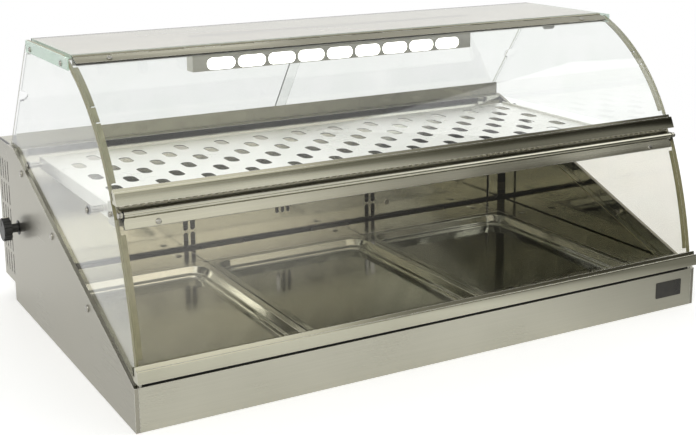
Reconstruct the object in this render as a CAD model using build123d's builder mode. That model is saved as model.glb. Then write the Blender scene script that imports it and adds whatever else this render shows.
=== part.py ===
from build123d import *

import os
from math import acos, asin, atan2, cos, degrees, radians, sin, sqrt, tan

# Heated display case. Millimetres, +Z up, +X to the right as the customer sees it, +Y to the rear.
# The origin is the centre of the flat base. Depths named ..._D are counted from the front panel.

# Overall case
WIDTH = 1055.0  # over the side panels
BASE_DEPTH = 642.0  # front panel to the rear of the foot
REAR_OVERHANG = 65.5  # rear housing behind the foot
HOUSING_ROOM = 125.5  # back wall to the rear cover
FRONT_HEIGHT = 67.0  # front panel
HOUSING_TOP = 295.5  # top of the rear housing
HOUSING_BOTTOM = 34.5  # underside of the overhanging rear housing
RAMP_RUN = 11.0  # behind the back wall the sloping edge of a side panel meets its flat top
SHEET = 1.2  # stainless sheet
PANEL_RETURN = 6.5  # folded edge of a side panel, which the side glass leans on
RAMP_CORNER = 8.0
LIGHT_GAP = 0.3  # between pieces that are laid beside each other

# Glass
FLAP_GLASS = 6.0
SIDE_GLASS = 5.0
TOP_GLASS = 6.0
DOOR_GLASS = 4.0
FLAP_OVERHANG = 0.5  # a flap's edge stands this far inside the outer face of the side glass
FLAP_REST_GAP = 0.5  # between a closed flap and the edge of the side glass
GLASS_TUCK = 32.0  # side glass below the sloping edge of the side panel
GLASS_LIFT = 0.4  # side glass above the front panel
UPPER_CENTRE_D = 382.7
UPPER_CENTRE_Z = 185.5
UPPER_RADIUS = 336.3  # outer face of the upper flap
UPPER_TOP_ANGLE = 67.87
UPPER_FOOT_ANGLE = 23.6
LOWER_CENTRE_D = 832.4
LOWER_CENTRE_Z = -28.7
LOWER_RADIUS = 836.3  # outer face of the lower flap
LOWER_TOP_ANGLE = 22.81
LOWER_FOOT_ANGLE = 7.7
SLOPE_FOOT = 40.0  # behind the back wall the doors meet the lower track
DOOR_LEAN = 35.6  # rear edge of the side glass, and the doors along it, away from upright

# Deck and pans
DECK_TOP = 62.7
DECK_WALL_GAP = 5.0
DECK_REAR_GAP = 17.0  # air slot between the deck and the back wall
DECK_FLANGE = 22.0
SEAM_SLOT = 2.4
SEAM_SLOT_LENGTH = 440.0
PAN_WIDTH = 331.5
PAN_LENGTH = 476.0
PAN_DEPTH = 20.0
PAN_GAP = 2.0
PAN_COUNT = 3
PAN_FRONT_D = 14.5
PAN_RIGHT_X = 452.0
PAN_FLANGE = 12.5
PAN_HEM = 2.2  # folded edge of the flange
PAN_HEM_ROUND = 1.4
PAN_WALL = 0.8
PAN_POCKET_DROP = 13.5  # flange to the ledge
PAN_POCKET_CORNER = 30.0
PAN_POCKET_ROUND = 3.0
PAN_LEDGE = 5.0
PAN_LEDGE_ROUND = 2.0
PAN_TAPER = 20.0
PAN_FLOOR_ROUND = 4.0
PAN_LIP_ROUND = 1.6
PAN_CORNER = 12.0
PAN_SEAT_GAP = 0.3
PAN_HOLE_CLEARANCE = 1.0
STRIP_HOLE_X = 488.0
STRIP_HOLE_BACK = 441.5  # behind the front of the pans
STRIP_HOLE_RADIUS = 7.0
TRAY_LENGTH = 940.0
TRAY_DEPTH = 26.0
TRAY_WIDTH = 37.0
TRAY_REAR_GAP = 34.0  # in front of the back wall
TRAY_FLANGE = 9.0
COVER_SHEET = 1.0
COVER_REAR_GAP = 19.0  # in front of the back wall
FINGER_RADIUS = 13.0
FINGER_INSET = 37.0
FINGER_GAP = 17.0  # in front of the rear edge of a cover

# Rear housing
WALL_FOOT_Z = 65.5  # lower edge of the part of the back wall that shows
WALL_SETBACK = 40.0  # its foot stands this far behind it
AIR_SLOT_WIDTH = 9.5
AIR_SLOT_PITCH = 14.2
AIR_PAIR_X = (-207.3, 191.5)
AIR_LOW = (68.5, 96.0)
AIR_HIGH = (100.0, 150.0)
AIR_CENTRE_X = -8.5
AIR_CENTRE_PITCH = 12.2
AIR_CENTRE_WIDTH = 7.0
AIR_CENTRE = (107.0, 150.0)
AIR_EDGE_X = 489.5
AIR_EDGE_WIDTH = 6.0
FOOT_SLOT = (90.0, 12.0)
FOOT_SLOT_PITCH = 240.0
PROBE_X = 233.0
PROBE_Z = 94.7
PROBE_RADIUS = 3.5
VENT_LENGTH = 39.0
VENT_WIDTH = 5.0
VENT_REAR_MARGIN = 16.0
VENT_PITCH_D = 17.0
VENT_COLUMNS = 4
VENT_LOW_Z = 69.0
VENT_PITCH_Z = 43.6
VENT_ROWS = 5
LOUVRE_COUNT = 9
LOUVRE_PITCH = 22.0
LOUVRE_LENGTH = 90.0
LOUVRE_WIDTH = 5.0
LOUVRE_X = 300.0
LOUVRE_Z = 200.0
TOP_SLOT = (80.0, 5.0)
TOP_SLOT_PITCH = (110.0, 16.0)
TOP_SLOT_BACK = 90.0  # behind the back wall
COVER_SCREW_PITCH = 245.0
COVER_SCREW_INSET = 14.0
INLET_X = 440.0
INLET_Z = 80.0
INLET_WIDTH = 48.0
INLET_HEIGHT = 28.0
INLET_DEPTH = 24.0
INLET_FLANGE = 5.0
SWITCH_X = 360.0
SWITCH_Z = 80.0
SWITCH_WIDTH = 28.0
SWITCH_HEIGHT = 20.0
SWITCH_DEPTH = 16.0
SWITCH_BEZEL = 3.0
ROCKER_GAP = 0.4
ROCKER_TILT = 11.0  # each way from level
ROCKER_HALF = 6.4
ROCKER_REACH = 5.0  # pin to the rocker's face
ROCKER_PIN_IN = 3.0  # pin behind the rear cover's face
ROCKER_PIN_RADIUS = 1.5

# Fan, heater and controls
FAN_X = 10.0
FAN_LENGTH = 360.0
FAN_BACK = 60.0  # behind the back wall
FAN_Z = 205.0
FAN_RADIUS = 32.0
FAN_BLADES = 20
FAN_BLADE = 10.0
SHAFT_RADIUS = 3.0
RUNNING = 0.05  # radial clearance of a turning shaft
MOTOR_RADIUS = 30.0
MOTOR_LENGTH = 52.0
MOTOR_PLATE_HALF = 38.0
MOTOR_PLATE_REACH = 20.0  # behind the drum's axis
PLATE = 2.0
HEATER_BACK = 34.0  # behind the back wall
HEATER_LOW_Z = 95.0
HEATER_RISE = 30.0
HEATER_LENGTH = 720.0

# Terminal block on the housing floor
TERMINAL_X = 280.0
TERMINAL_BACK = 84.0  # behind the back wall
TERMINAL_LENGTH = 60.0
TERMINAL_WIDTH = 22.0
TERMINAL_HEIGHT = 16.0

# Blank plate on the front panel
BLANK_PLATE_IN = 59.5  # from the panel's right end to the plate's middle
BLANK_PLATE_Z = 37.7
BLANK_PLATE_LENGTH = 58.0
BLANK_PLATE_HEIGHT = 29.0
HEATER_RADIUS = 4.0
KNOB_BACK = 8.0  # behind the back wall
KNOB_Z = 152.0
KNOB_RADIUS = 21.0
KNOB_THICK = 14.0
KNOB_STANDOFF = 15.5
KNOB_STEM_RADIUS = 8.0
BUSH_RADIUS = 7.0

# Fixed top
SIDE_BAND = 2.0
SIDE_BAND_HEIGHT = 19.0
SIDE_BAND_FRONT_D = 246.0
SIDE_BAND_END = 4.0  # in front of the rear edge of the top plate
BAND_SCREW_D = (280.0, 451.0)
TOP_SIDE_GAP = 4.5  # between the top plate and the flap's inner limit
TOP_DROP = 1.7  # side glass below the face of the top plate
KNUCKLE_RADIUS = 2.6
HINGE_PIN_RADIUS = 1.25
HINGE_LEAD = 0.89
HINGE_DROP = 0.4
KNUCKLE_COUNT = 17
KNUCKLE_GAP = 0.5
CHANNEL_WALL = 1.0
CHANNEL_DEPTH = 16.0
CHANNEL_PLAY = 0.05
FLAP_SCREW_X = 457.0
RAIL_SHEET = 1.5
TAB_X = 392.0
TAB_WIDTH = 26.0
TAB_DROP = 18.0

# Lamp
LAMP_HALF = 280.0
LAMP_FRONT_D = 356.0
LAMP_DEPTH = 25.0
LAMP_BOTTOM = 441.5
LAMP_SHEET = 1.0
WINDOW_COUNT = 9
WINDOW_PITCH = 57.0
WINDOW_LENGTH = 52.0
WINDOW_HEIGHT = 20.0
WINDOW_LIFT = 1.5
DIFFUSER = 1.5
DIFFUSER_UP = 14.0  # above the windows' middle
TUBE_RADIUS = 8.0

# Middle beam and lower hinge
BEAM_D = 74.0
BEAM_DEPTH = 26.0
BEAM_BOTTOM = 281.0
BEAM_TOP = 314.0
STRIP_THICK = 1.9
STRIP_HEIGHT = 8.0
STRIP_HOLE_PITCH = 11.5
STRIP_HOLE_COUNT = 88
ROD_RADIUS = 3.0
ROD_OUT = 5.0  # rod axis in front of the outer face of the lower flap
ROD_UP = 4.5  # and above the top edge of its glass
TUBE_WALL_RADIUS = 4.7
TUBE_END_GAP = 2.5
BRACKET_PLATE = 2.5
CLAMP_STRIP = 2.0
CLAMP_DROP = 16.0
CLAMP_SCREW_X = 460.5
CLAMP_SCREW_DOWN = 10.5

# Handle rails, which are the same extrusion in two lengths
HANDLE_FACE = 11.7
HANDLE_FACE_TOP = 9.4
HANDLE_LIP = 6.1
HANDLE_LIP_TOP = 14.9
HANDLE_BACK = 2.1
HANDLE_SLOT_TOP = 12.5
HANDLE_PLAY = 0.1
UPPER_HANDLE_END = 0.5  # the flap's glass past the rail's end
UPPER_HANDLE_FLOOR = 314.8
LOWER_HANDLE_END = 4.2  # the rail's end past the flap's glass
LOWER_HANDLE_FLOOR = 75.5
STOP_D = 4.0
STOP_X = 517.5

# Shelf
SHELF_TOP = 286.0
SHELF_SIDE_GAP = 26.8  # between the shelf and the side glass
SHELF_FRONT_D = 100.8
SHELF_REAR_GAP = 42.0  # in front of the back wall
SHELF_LIP = 14.0
SHELF_SLOT_WIDTH = 20.0
SHELF_SLOT_LENGTH = 40.0
SHELF_SLOT_PITCH = 78.8
SHELF_SLOT_SHIFT = 19.8
SHELF_SLOT_CENTRE = 2.5
SHELF_COLUMNS = 12
SHELF_ROWS = 9
SHELF_ROW_PITCH = 44.5
SHELF_LAST_ROW = 50.5  # in front of the shelf's rear edge
SIDE_RAIL = 3.0
SIDE_RAIL_LOW = 267.5
SIDE_RAIL_TOP = 289.5
SIDE_RAIL_LENGTH = 378.0
SIDE_RAIL_END = 4.0  # in front of the shelf's rear edge
CROSSBAR = 14.0
CROSSBAR_SPAN = 331.0
CROSSBAR_REAR = 13.0  # in front of the shelf's rear edge
CROSSBAR_SCREW = 20.0
STUD_RADIUS = 5.0
PAD_RADIUS = 7.0
PAD_THICK = 3.0

# Doors
DOOR_GAP = 2.0
DOOR_PLAY = 0.3
DOOR_LAP = 12.0
TRACK_WALL = 1.4
TRACK_DEPTH = 14.0
TRACK_FLOOR = 2.0
TRACK_FOOT_Z = 304.5
TRACK_RUN = 10.0  # behind the back wall the lower track begins
TRACK_FRONT_TOP = 321.5
UPPER_TRACK_Z = 494.5
DOOR_LIFT = 5.0
DOOR_FINGER_RADIUS = 12.0  # notch at the outer end of a door
DOOR_END_GAP = 2.0

# Screws
SCREW_RADIUS = 2.0
SCREW_HEAD = 4.5
SCREW_HEAD_THICK = 2.2
SCREW_SLOT = 1.1
SCREW_PLAY = 0.3
NUT_EASE = 0.05  # a flat nut stands off the hollow side of a bent piece
BIG_SCREW_RADIUS = 2.5
BIG_HEAD = 6.0
BIG_HEAD_THICK = 3.0
GLASS_SCREWS = ((198.0, 123.5), (374.0, 191.5), (545.0, 260.0))

# Places that follow from the sizes above
HOUSING_DEPTH = BASE_DEPTH + REAR_OVERHANG
BACK_WALL_D = HOUSING_DEPTH - HOUSING_ROOM
RAMP_DEPTH = BACK_WALL_D + RAMP_RUN
TRACK_FRONT_D = BACK_WALL_D + TRACK_RUN
DECK_DEPTH = BACK_WALL_D - DECK_REAR_GAP
COVER_REAR_D = BACK_WALL_D - COVER_REAR_GAP
COVER_FRONT_D = PAN_FRONT_D + PAN_LENGTH + PAN_GAP
TRAY_REAR_D = BACK_WALL_D - TRAY_REAR_GAP
TRAY_FRONT_D = TRAY_REAR_D - TRAY_WIDTH
FAN_D = BACK_WALL_D + FAN_BACK
HEATER_D = BACK_WALL_D + HEATER_BACK
TERMINAL_D = BACK_WALL_D + TERMINAL_BACK
KNOB_D = BACK_WALL_D + KNOB_BACK
SHELF_REAR_D = BACK_WALL_D - SHELF_REAR_GAP
CROSSBAR_D = (SHELF_REAR_D - CROSSBAR_REAR - CROSSBAR_SPAN, SHELF_REAR_D - CROSSBAR_REAR)
HALF = WIDTH / 2
GLASS_OUT = HALF - PANEL_RETURN
GLASS_IN = GLASS_OUT - SIDE_GLASS
INNER = HALF - SHEET
BETWEEN_RETURNS = GLASS_OUT - LIGHT_GAP
FLAP_HALF = GLASS_OUT - FLAP_OVERHANG
UPPER_HANDLE_HALF = FLAP_HALF - UPPER_HANDLE_END
LOWER_HANDLE_HALF = FLAP_HALF + LOWER_HANDLE_END
SHELF_HALF = GLASS_IN - SHELF_SIDE_GAP
BETWEEN_GLASS = GLASS_IN - FLAP_OVERHANG
RAMP = degrees(atan2(HOUSING_TOP - FRONT_HEIGHT, RAMP_DEPTH))
DECK_HALF = INNER - DECK_WALL_GAP
TOP_HALF = BETWEEN_GLASS - TOP_SIDE_GAP
HINGE_TUBE_HALF = BETWEEN_GLASS - BRACKET_PLATE - TUBE_END_GAP


def back(depth):
    """Y of a point this far behind the front panel."""
    return depth - BASE_DEPTH / 2


def upright(x):
    """Plane square to the width. Sketches on it read Y, Z."""
    return Plane.YZ.offset(x)


def level(z):
    """Horizontal plane. Sketches on it read X, Y."""
    return Plane.XY.offset(z)


def facing(depth):
    """Plane square to the depth. Sketches on it read X, Z, and its normal points to the front."""
    return Plane.XZ.offset(-back(depth))


def block(x0, x1, d0, d1, z0, z1, mode=Mode.ADD):
    """Rectangular block between two corners."""
    with Locations((x0, back(d0), z0)):
        Box(x1 - x0, d1 - d0, z1 - z0, align=(Align.MIN, Align.MIN, Align.MIN), mode=mode)


def rod_along_x(x0, x1, depth, z, radius, mode=Mode.ADD):
    """Round bar along the width."""
    with Locations(Location((x0, back(depth), z), (0, 90, 0))):
        Cylinder(radius, x1 - x0, align=(Align.CENTER, Align.CENTER, Align.MIN), mode=mode)


def polygon(*points, mode=Mode.ADD):
    """Closed straight-sided sketch from depth, height points."""
    with BuildLine() as edge:
        Polyline(*[(back(depth), z) for depth, z in points], close=True)
    make_face(edge.edges(), mode=mode)


def polar(centre_d, centre_z, radius, angle):
    """Depth and height of a point on a flap's arc, with the angle above the horizontal."""
    return centre_d - radius * cos(radians(angle)), centre_z + radius * sin(radians(angle))


def upper_arc(radius_step, angle):
    """Point that stands radius_step outside the upper flap's outer face."""
    return polar(UPPER_CENTRE_D, UPPER_CENTRE_Z, UPPER_RADIUS + radius_step, angle)


def lower_arc(radius_step, angle):
    """Point that stands radius_step outside the lower flap's outer face."""
    return polar(LOWER_CENTRE_D, LOWER_CENTRE_Z, LOWER_RADIUS + radius_step, angle)


def arc_band(arc, inner, outer, start, end):
    """Closed band between two radii of a flap's arc."""

    def place(step, angle):
        depth, z = arc(step, angle)
        return back(depth), z

    middle = (start + end) / 2
    with BuildLine() as edge:
        ThreePointArc(place(outer, start), place(outer, middle), place(outer, end))
        Line(place(outer, end), place(inner, end))
        ThreePointArc(place(inner, end), place(inner, middle), place(inner, start))
        Line(place(inner, start), place(outer, start))
    make_face(edge.edges())


def arc_height(centre_z, radius, z):
    """Angle on an arc of this radius at height z."""
    return degrees(asin((z - centre_z) / radius))


def outward(arc, x, angle):
    """Plane on a flap's outer face whose normal points away from the arc's centre."""
    depth, z = arc(0, angle)
    normal = (0, -cos(radians(angle)), sin(radians(angle)))
    return Plane(origin=(x, back(depth), z), x_dir=(1, 0, 0), z_dir=normal)


def ramp_z(depth, tuck=0.0):
    """Height of the sloping edge of a side panel, or of a line parallel to it and lower."""
    return FRONT_HEIGHT + depth * tan(radians(RAMP)) - tuck / cos(radians(RAMP))


# Hinge of the upper flap, between its glass and the top plate
HINGE_D, HINGE_Z = upper_arc(-HINGE_DROP, UPPER_TOP_ANGLE + HINGE_LEAD)
PLATE_TOP = HINGE_Z + KNUCKLE_RADIUS + 0.5
PLATE_UNDER = PLATE_TOP - TOP_GLASS
PLATE_FRONT_D = HINGE_D + KNUCKLE_RADIUS + 0.6
SIDE_GLASS_TOP = PLATE_TOP - TOP_DROP
SLOPE_FOOT_D = BACK_WALL_D + SLOPE_FOOT
SIDE_TOP_REAR_D = SLOPE_FOOT_D - (SIDE_GLASS_TOP - TRACK_FOOT_Z) * tan(radians(DOOR_LEAN))
# Hinge of the lower flap
ROD_ANGLE = LOWER_TOP_ANGLE + degrees(ROD_UP / LOWER_RADIUS)
ROD_D, ROD_Z = lower_arc(ROD_OUT, ROD_ANGLE)


def slope(up, inside):
    """Point of the rear slope: up along it from the track's foot, and inside of the glass edge."""
    lean = radians(DOOR_LEAN)
    depth = SLOPE_FOOT_D - up * sin(lean) - inside * cos(lean)
    return depth, TRACK_FOOT_Z + up * cos(lean) - inside * sin(lean)


SLOPE_LENGTH = (UPPER_TRACK_Z - TRACK_FOOT_Z) / cos(radians(DOOR_LEAN))
OUTER_DOOR = TRACK_WALL + 0.2 + DOOR_PLAY  # from the glass edge to the outer pane
INNER_DOOR = OUTER_DOOR + DOOR_GLASS + DOOR_GAP
TRACK_INSIDE = INNER_DOOR + DOOR_GLASS + DOOR_PLAY + TRACK_WALL


def save(piece, name):
    """Label a finished piece and write it."""
    piece.part.label = name
    export_step(piece.part, f"parts/{name}.step")


def screw_head(radius, thick):
    """Domed head that stands on the XY plane, with a slot across it."""
    with BuildPart() as head:
        Cylinder(radius, thick, align=(Align.CENTER, Align.CENTER, Align.MIN))
        fillet(head.faces().sort_by(Axis.Z)[-1].edges(), thick * 0.8)
        with Locations((0, 0, thick)):
            Box(2 * radius, SCREW_SLOT, thick, mode=Mode.SUBTRACT)
    return head.part


SMALL_DOME = screw_head(SCREW_HEAD, SCREW_HEAD_THICK)
BIG_DOME = screw_head(BIG_HEAD, BIG_HEAD_THICK)


def head_on_side(dome, x, depth, z):
    """Screw head that faces the right, with its underside at x."""
    with Locations(Location((x, back(depth), z), (0, 90, 0))):
        add(dome)


os.makedirs("parts", exist_ok=True)

# Base tray with upturned edges and air slots
with BuildPart() as base_tray:
    block(-BETWEEN_RETURNS, BETWEEN_RETURNS, SHEET + LIGHT_GAP, BASE_DEPTH, 0, SHEET)
    lip_top = HOUSING_BOTTOM - LIGHT_GAP
    block(-BETWEEN_RETURNS, BETWEEN_RETURNS, BASE_DEPTH - SHEET, BASE_DEPTH, 0, lip_top)
    for edge in (-BETWEEN_RETURNS, BETWEEN_RETURNS - SHEET):
        block(edge, edge + SHEET, SHEET + LIGHT_GAP, BASE_DEPTH, 0, lip_top)
    block(-BETWEEN_RETURNS, BETWEEN_RETURNS, SHEET + LIGHT_GAP, 2 * SHEET + LIGHT_GAP, 0, lip_top)
    with BuildSketch(level(0)):
        with GridLocations(260, 24, 4, 7):
            SlotOverall(120, 6)
    extrude(amount=SHEET, mode=Mode.SUBTRACT)
save(base_tray, "base_tray")

# Front panel with its folded top
LIP_D = PAN_FRONT_D - 0.5
with BuildPart() as front_panel:
    block(-BETWEEN_RETURNS, BETWEEN_RETURNS, 0, SHEET, 0, FRONT_HEIGHT)
    block(-BETWEEN_RETURNS, BETWEEN_RETURNS, 0, LIP_D, FRONT_HEIGHT - SHEET, FRONT_HEIGHT)
    block(-BETWEEN_RETURNS, BETWEEN_RETURNS, LIP_D - SHEET, LIP_D, DECK_TOP + 0.2, FRONT_HEIGHT)
save(front_panel, "front_panel")

# Side panels: the left one is the right one mirrored, with a hole for the knob
with BuildPart() as side_panel_right:
    with BuildSketch(upright(GLASS_OUT)) as outline:
        polygon(
            (0, 0),
            (0, FRONT_HEIGHT),
            (RAMP_DEPTH, HOUSING_TOP),
            (HOUSING_DEPTH, HOUSING_TOP),
            (HOUSING_DEPTH, HOUSING_BOTTOM),
            (BASE_DEPTH, HOUSING_BOTTOM),
            (BASE_DEPTH, 0),
        )
        ramp_end = outline.vertices().sort_by_distance((back(RAMP_DEPTH), HOUSING_TOP))[0]
        fillet(ramp_end, RAMP_CORNER)
    extrude(amount=PANEL_RETURN)
    with BuildSketch(upright(GLASS_OUT)):
        add(outline.sketch_local)
        offset(amount=-SHEET, kind=Kind.INTERSECTION)
    extrude(amount=PANEL_RETURN - SHEET, mode=Mode.SUBTRACT)
    vent_d = HOUSING_DEPTH - VENT_REAR_MARGIN - VENT_PITCH_D * (VENT_COLUMNS - 1) / 2
    vent_z = VENT_LOW_Z + VENT_PITCH_Z * (VENT_ROWS - 1) / 2
    with BuildSketch(upright(INNER)):
        with Locations((back(vent_d), vent_z)):
            with GridLocations(VENT_PITCH_D, VENT_PITCH_Z, VENT_COLUMNS, VENT_ROWS):
                SlotOverall(VENT_LENGTH, VENT_WIDTH, rotation=90)
        for depth, z in GLASS_SCREWS:
            with Locations((back(depth), z)):
                Circle(BIG_SCREW_RADIUS + SCREW_PLAY)
    extrude(amount=SHEET, mode=Mode.SUBTRACT)
save(side_panel_right, "side_panel_right")

with BuildPart() as side_panel_left:
    mirror(side_panel_right.part, about=Plane.YZ)
    rod_along_x(-HALF, -INNER, KNOB_D, KNOB_Z, BUSH_RADIUS + SCREW_PLAY, Mode.SUBTRACT)
save(side_panel_left, "side_panel_left")

# Deck: one sheet with an opening for each pan and one for the water tray
pan_spans = []
for i in range(PAN_COUNT):
    pan_right = PAN_RIGHT_X - (PAN_WIDTH + PAN_GAP) * i
    # The last pan on the left stops at the side glass, so that it can be lifted past it
    pan_spans.insert(0, (max(pan_right - PAN_WIDTH, -BETWEEN_GLASS + LIGHT_GAP), pan_right))
pan_middle_d = PAN_FRONT_D + PAN_LENGTH / 2
hole_inset = PAN_FLANGE - PAN_WALL - PAN_HOLE_CLEARANCE
tray_middle_x = (pan_spans[0][0] + pan_spans[-1][1]) / 2
tray_middle_d = (TRAY_FRONT_D + TRAY_REAR_D) / 2
strip_hole_d = PAN_FRONT_D + STRIP_HOLE_BACK
seams = [right + PAN_GAP / 2 for left, right in pan_spans]
with BuildPart() as deck:
    block(-DECK_HALF, DECK_HALF, SHEET, DECK_DEPTH, DECK_TOP - SHEET, DECK_TOP)
    block(-DECK_HALF, DECK_HALF, SHEET, 2 * SHEET, DECK_TOP - DECK_FLANGE, DECK_TOP)
    flange_half = BETWEEN_RETURNS - SHEET - LIGHT_GAP
    block(-flange_half, flange_half, DECK_DEPTH - SHEET, DECK_DEPTH, SHEET, DECK_TOP)
    with BuildSketch(level(DECK_TOP)):
        for left, right in pan_spans:
            with Locations(((left + right) / 2, back(pan_middle_d))):
                RectangleRounded(
                    right - left - 2 * hole_inset, PAN_LENGTH - 2 * hole_inset,
                    PAN_POCKET_CORNER + PAN_WALL + PAN_HOLE_CLEARANCE,
                )
        for x in seams:
            with Locations((x, back(pan_middle_d))):
                Rectangle(SEAM_SLOT, SEAM_SLOT_LENGTH)
        with Locations((tray_middle_x, back(tray_middle_d))):
            Rectangle(TRAY_LENGTH + 2, TRAY_REAR_D - TRAY_FRONT_D + 2)
        with Locations((STRIP_HOLE_X, back(strip_hole_d))):
            Circle(STRIP_HOLE_RADIUS)
    extrude(amount=-SHEET, mode=Mode.SUBTRACT)
save(deck, "deck")

# Water tray that hangs in the deck behind the pans
tray_top = DECK_TOP + COVER_SHEET
with BuildPart() as water_tray:
    with BuildSketch(level(DECK_TOP)):
        with Locations((tray_middle_x, back(tray_middle_d))):
            Rectangle(TRAY_LENGTH + 2 * TRAY_FLANGE, TRAY_REAR_D - TRAY_FRONT_D + 2 * TRAY_FLANGE)
    extrude(amount=COVER_SHEET)
    with BuildSketch(level(tray_top)):
        with Locations((tray_middle_x, back(tray_middle_d))):
            Rectangle(TRAY_LENGTH, TRAY_REAR_D - TRAY_FRONT_D)
    extrude(amount=-TRAY_DEPTH)
    with BuildSketch(level(tray_top)):
        with Locations((tray_middle_x, back(tray_middle_d))):
            Rectangle(TRAY_LENGTH - 2 * COVER_SHEET, TRAY_REAR_D - TRAY_FRONT_D - 2 * COVER_SHEET)
    extrude(amount=-(TRAY_DEPTH - COVER_SHEET), mode=Mode.SUBTRACT)
save(water_tray, "water_tray")

# Cover plates behind the pans, each with a half-round finger hole, and the strip beside them
with BuildPart() as rear_deck_covers:
    with BuildSketch(level(tray_top)):
        for left, right in pan_spans:
            with Locations(((left + right) / 2, back((COVER_FRONT_D + COVER_REAR_D) / 2))):
                RectangleRounded(right - left, COVER_REAR_D - COVER_FRONT_D, 4)
            with Locations((right - FINGER_INSET, back(COVER_REAR_D - FINGER_GAP))):
                Circle(FINGER_RADIUS, mode=Mode.SUBTRACT)
                Rectangle(
                    FINGER_RADIUS, 2 * FINGER_RADIUS, align=(Align.MAX, Align.CENTER), mode=Mode.ADD
                )
    extrude(amount=COVER_SHEET)
    block(
        PAN_RIGHT_X + PAN_GAP, DECK_HALF, PAN_FRONT_D, COVER_REAR_D, DECK_TOP, tray_top + COVER_SHEET
    )
    with BuildSketch(level(DECK_TOP)):
        with Locations((STRIP_HOLE_X, back(strip_hole_d))):
            Circle(STRIP_HOLE_RADIUS)
    extrude(amount=2 * COVER_SHEET, mode=Mode.SUBTRACT)
save(rear_deck_covers, "rear_deck_covers")


def pan_form(x, width, grow):
    """Hollow of a pan, or its outside when it grows by the thickness of the sheet."""
    inset = PAN_FLANGE - grow
    ledge_inset = inset + PAN_POCKET_DROP * tan(radians(PAN_TAPER)) + PAN_LEDGE
    ledge_z = pan_top - PAN_POCKET_DROP - grow
    floor_z = pan_top - PAN_DEPTH + PAN_WALL - grow
    with BuildPart() as form:
        with BuildSketch(level(pan_top)):
            with Locations((x, back(pan_middle_d))):
                RectangleRounded(width - 2 * inset, PAN_LENGTH - 2 * inset, PAN_POCKET_CORNER + grow)
        extrude(amount=-(PAN_POCKET_DROP + grow), taper=PAN_TAPER)
        with BuildSketch(level(ledge_z)):
            with Locations((x, back(pan_middle_d))):
                RectangleRounded(
                    width - 2 * ledge_inset,
                    PAN_LENGTH - 2 * ledge_inset,
                    PAN_POCKET_CORNER - PAN_LEDGE + grow,
                )
        extrude(amount=floor_z - ledge_z, taper=PAN_TAPER)
        fillet(form.faces().sort_by(Axis.Z)[0].edges(), PAN_FLOOR_ROUND + grow)
        fillet(flat_at(form, ledge_z).inner_wires().edges(), PAN_LEDGE_ROUND + PAN_WALL - grow)
        fillet(flat_at(form, ledge_z).outer_wire().edges(), PAN_POCKET_ROUND + grow)
    return form.part


def flat_at(piece, z):
    """Largest level face of a piece at this height."""
    return piece.faces().filter_by_position(Axis.Z, z - 0.01, z + 0.01).sort_by(SortBy.AREA)[-1]


# Pans with a hemmed flange, a ledge and a shallow well
pan_top = DECK_TOP + PAN_SEAT_GAP + PAN_HEM
for number, (left, right) in enumerate(pan_spans, start=1):
    middle = (left + right) / 2
    outside = pan_form(middle, right - left, PAN_WALL)
    hollow = pan_form(middle, right - left, 0)
    with BuildPart() as pan:
        with BuildSketch(level(pan_top)):
            with Locations((middle, back(pan_middle_d))):
                RectangleRounded(right - left, PAN_LENGTH, PAN_CORNER)
        extrude(amount=-PAN_HEM)
        fillet(pan.faces().sort_by(Axis.Z)[-1].edges(), PAN_HEM_ROUND)
        with BuildSketch(level(pan_top - PAN_WALL)):
            with Locations((middle, back(pan_middle_d))):
                hem = 2 * (PAN_HEM_ROUND + PAN_WALL)
                RectangleRounded(right - left - hem, PAN_LENGTH - hem, PAN_CORNER - hem / 2)
        extrude(amount=-PAN_HEM, mode=Mode.SUBTRACT)
        add(outside)
        add(hollow, mode=Mode.SUBTRACT)
        under = flat_at(pan, pan_top - PAN_WALL)
        fillet(under.inner_wires().edges(), PAN_LIP_ROUND - PAN_WALL)
        fillet(flat_at(pan, pan_top).inner_wires().edges(), PAN_LIP_ROUND)
    save(pan, f"pan_{number}")

# Back wall with air slots. Its foot stands farther back, so that air is drawn in under it
wall_rear = BACK_WALL_D + SHEET
foot_d = BACK_WALL_D + WALL_SETBACK
with BuildPart() as back_wall:
    foot_half = BETWEEN_RETURNS - SHEET - LIGHT_GAP
    block(-BETWEEN_GLASS, BETWEEN_GLASS, BACK_WALL_D, wall_rear, WALL_FOOT_Z, HOUSING_TOP - SHEET)
    block(-BETWEEN_GLASS, BETWEEN_GLASS, BACK_WALL_D, foot_d + SHEET, WALL_FOOT_Z, WALL_FOOT_Z + SHEET)
    block(-BETWEEN_GLASS, BETWEEN_GLASS, foot_d, foot_d + SHEET, SHEET, WALL_FOOT_Z + SHEET)
    with BuildSketch(facing(BACK_WALL_D)):
        for low, high in (AIR_LOW, AIR_HIGH):
            for middle in AIR_PAIR_X:
                with Locations((middle, (low + high) / 2)):
                    with GridLocations(AIR_SLOT_PITCH, 1, 2, 1):
                        SlotOverall(high - low, AIR_SLOT_WIDTH, rotation=90)
        with Locations((AIR_CENTRE_X, sum(AIR_CENTRE) / 2)):
            with GridLocations(AIR_CENTRE_PITCH, 1, 3, 1):
                SlotOverall(AIR_CENTRE[1] - AIR_CENTRE[0], AIR_CENTRE_WIDTH, rotation=90)
        for x in (-AIR_EDGE_X, AIR_EDGE_X):
            with Locations((x, (AIR_LOW[0] + AIR_HIGH[1]) / 2)):
                SlotOverall(AIR_HIGH[1] - AIR_LOW[0], AIR_EDGE_WIDTH, rotation=90)
        with Locations((PROBE_X, PROBE_Z)):
            Circle(PROBE_RADIUS + SCREW_PLAY)
    extrude(amount=-SHEET, mode=Mode.SUBTRACT)
    with BuildSketch(facing(foot_d)):
        with Locations((0, (SHEET + WALL_FOOT_Z) / 2)):
            with GridLocations(FOOT_SLOT_PITCH, 2 * FOOT_SLOT[1], 4, 2):
                SlotOverall(*FOOT_SLOT)
    extrude(amount=-SHEET, mode=Mode.SUBTRACT)
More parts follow.
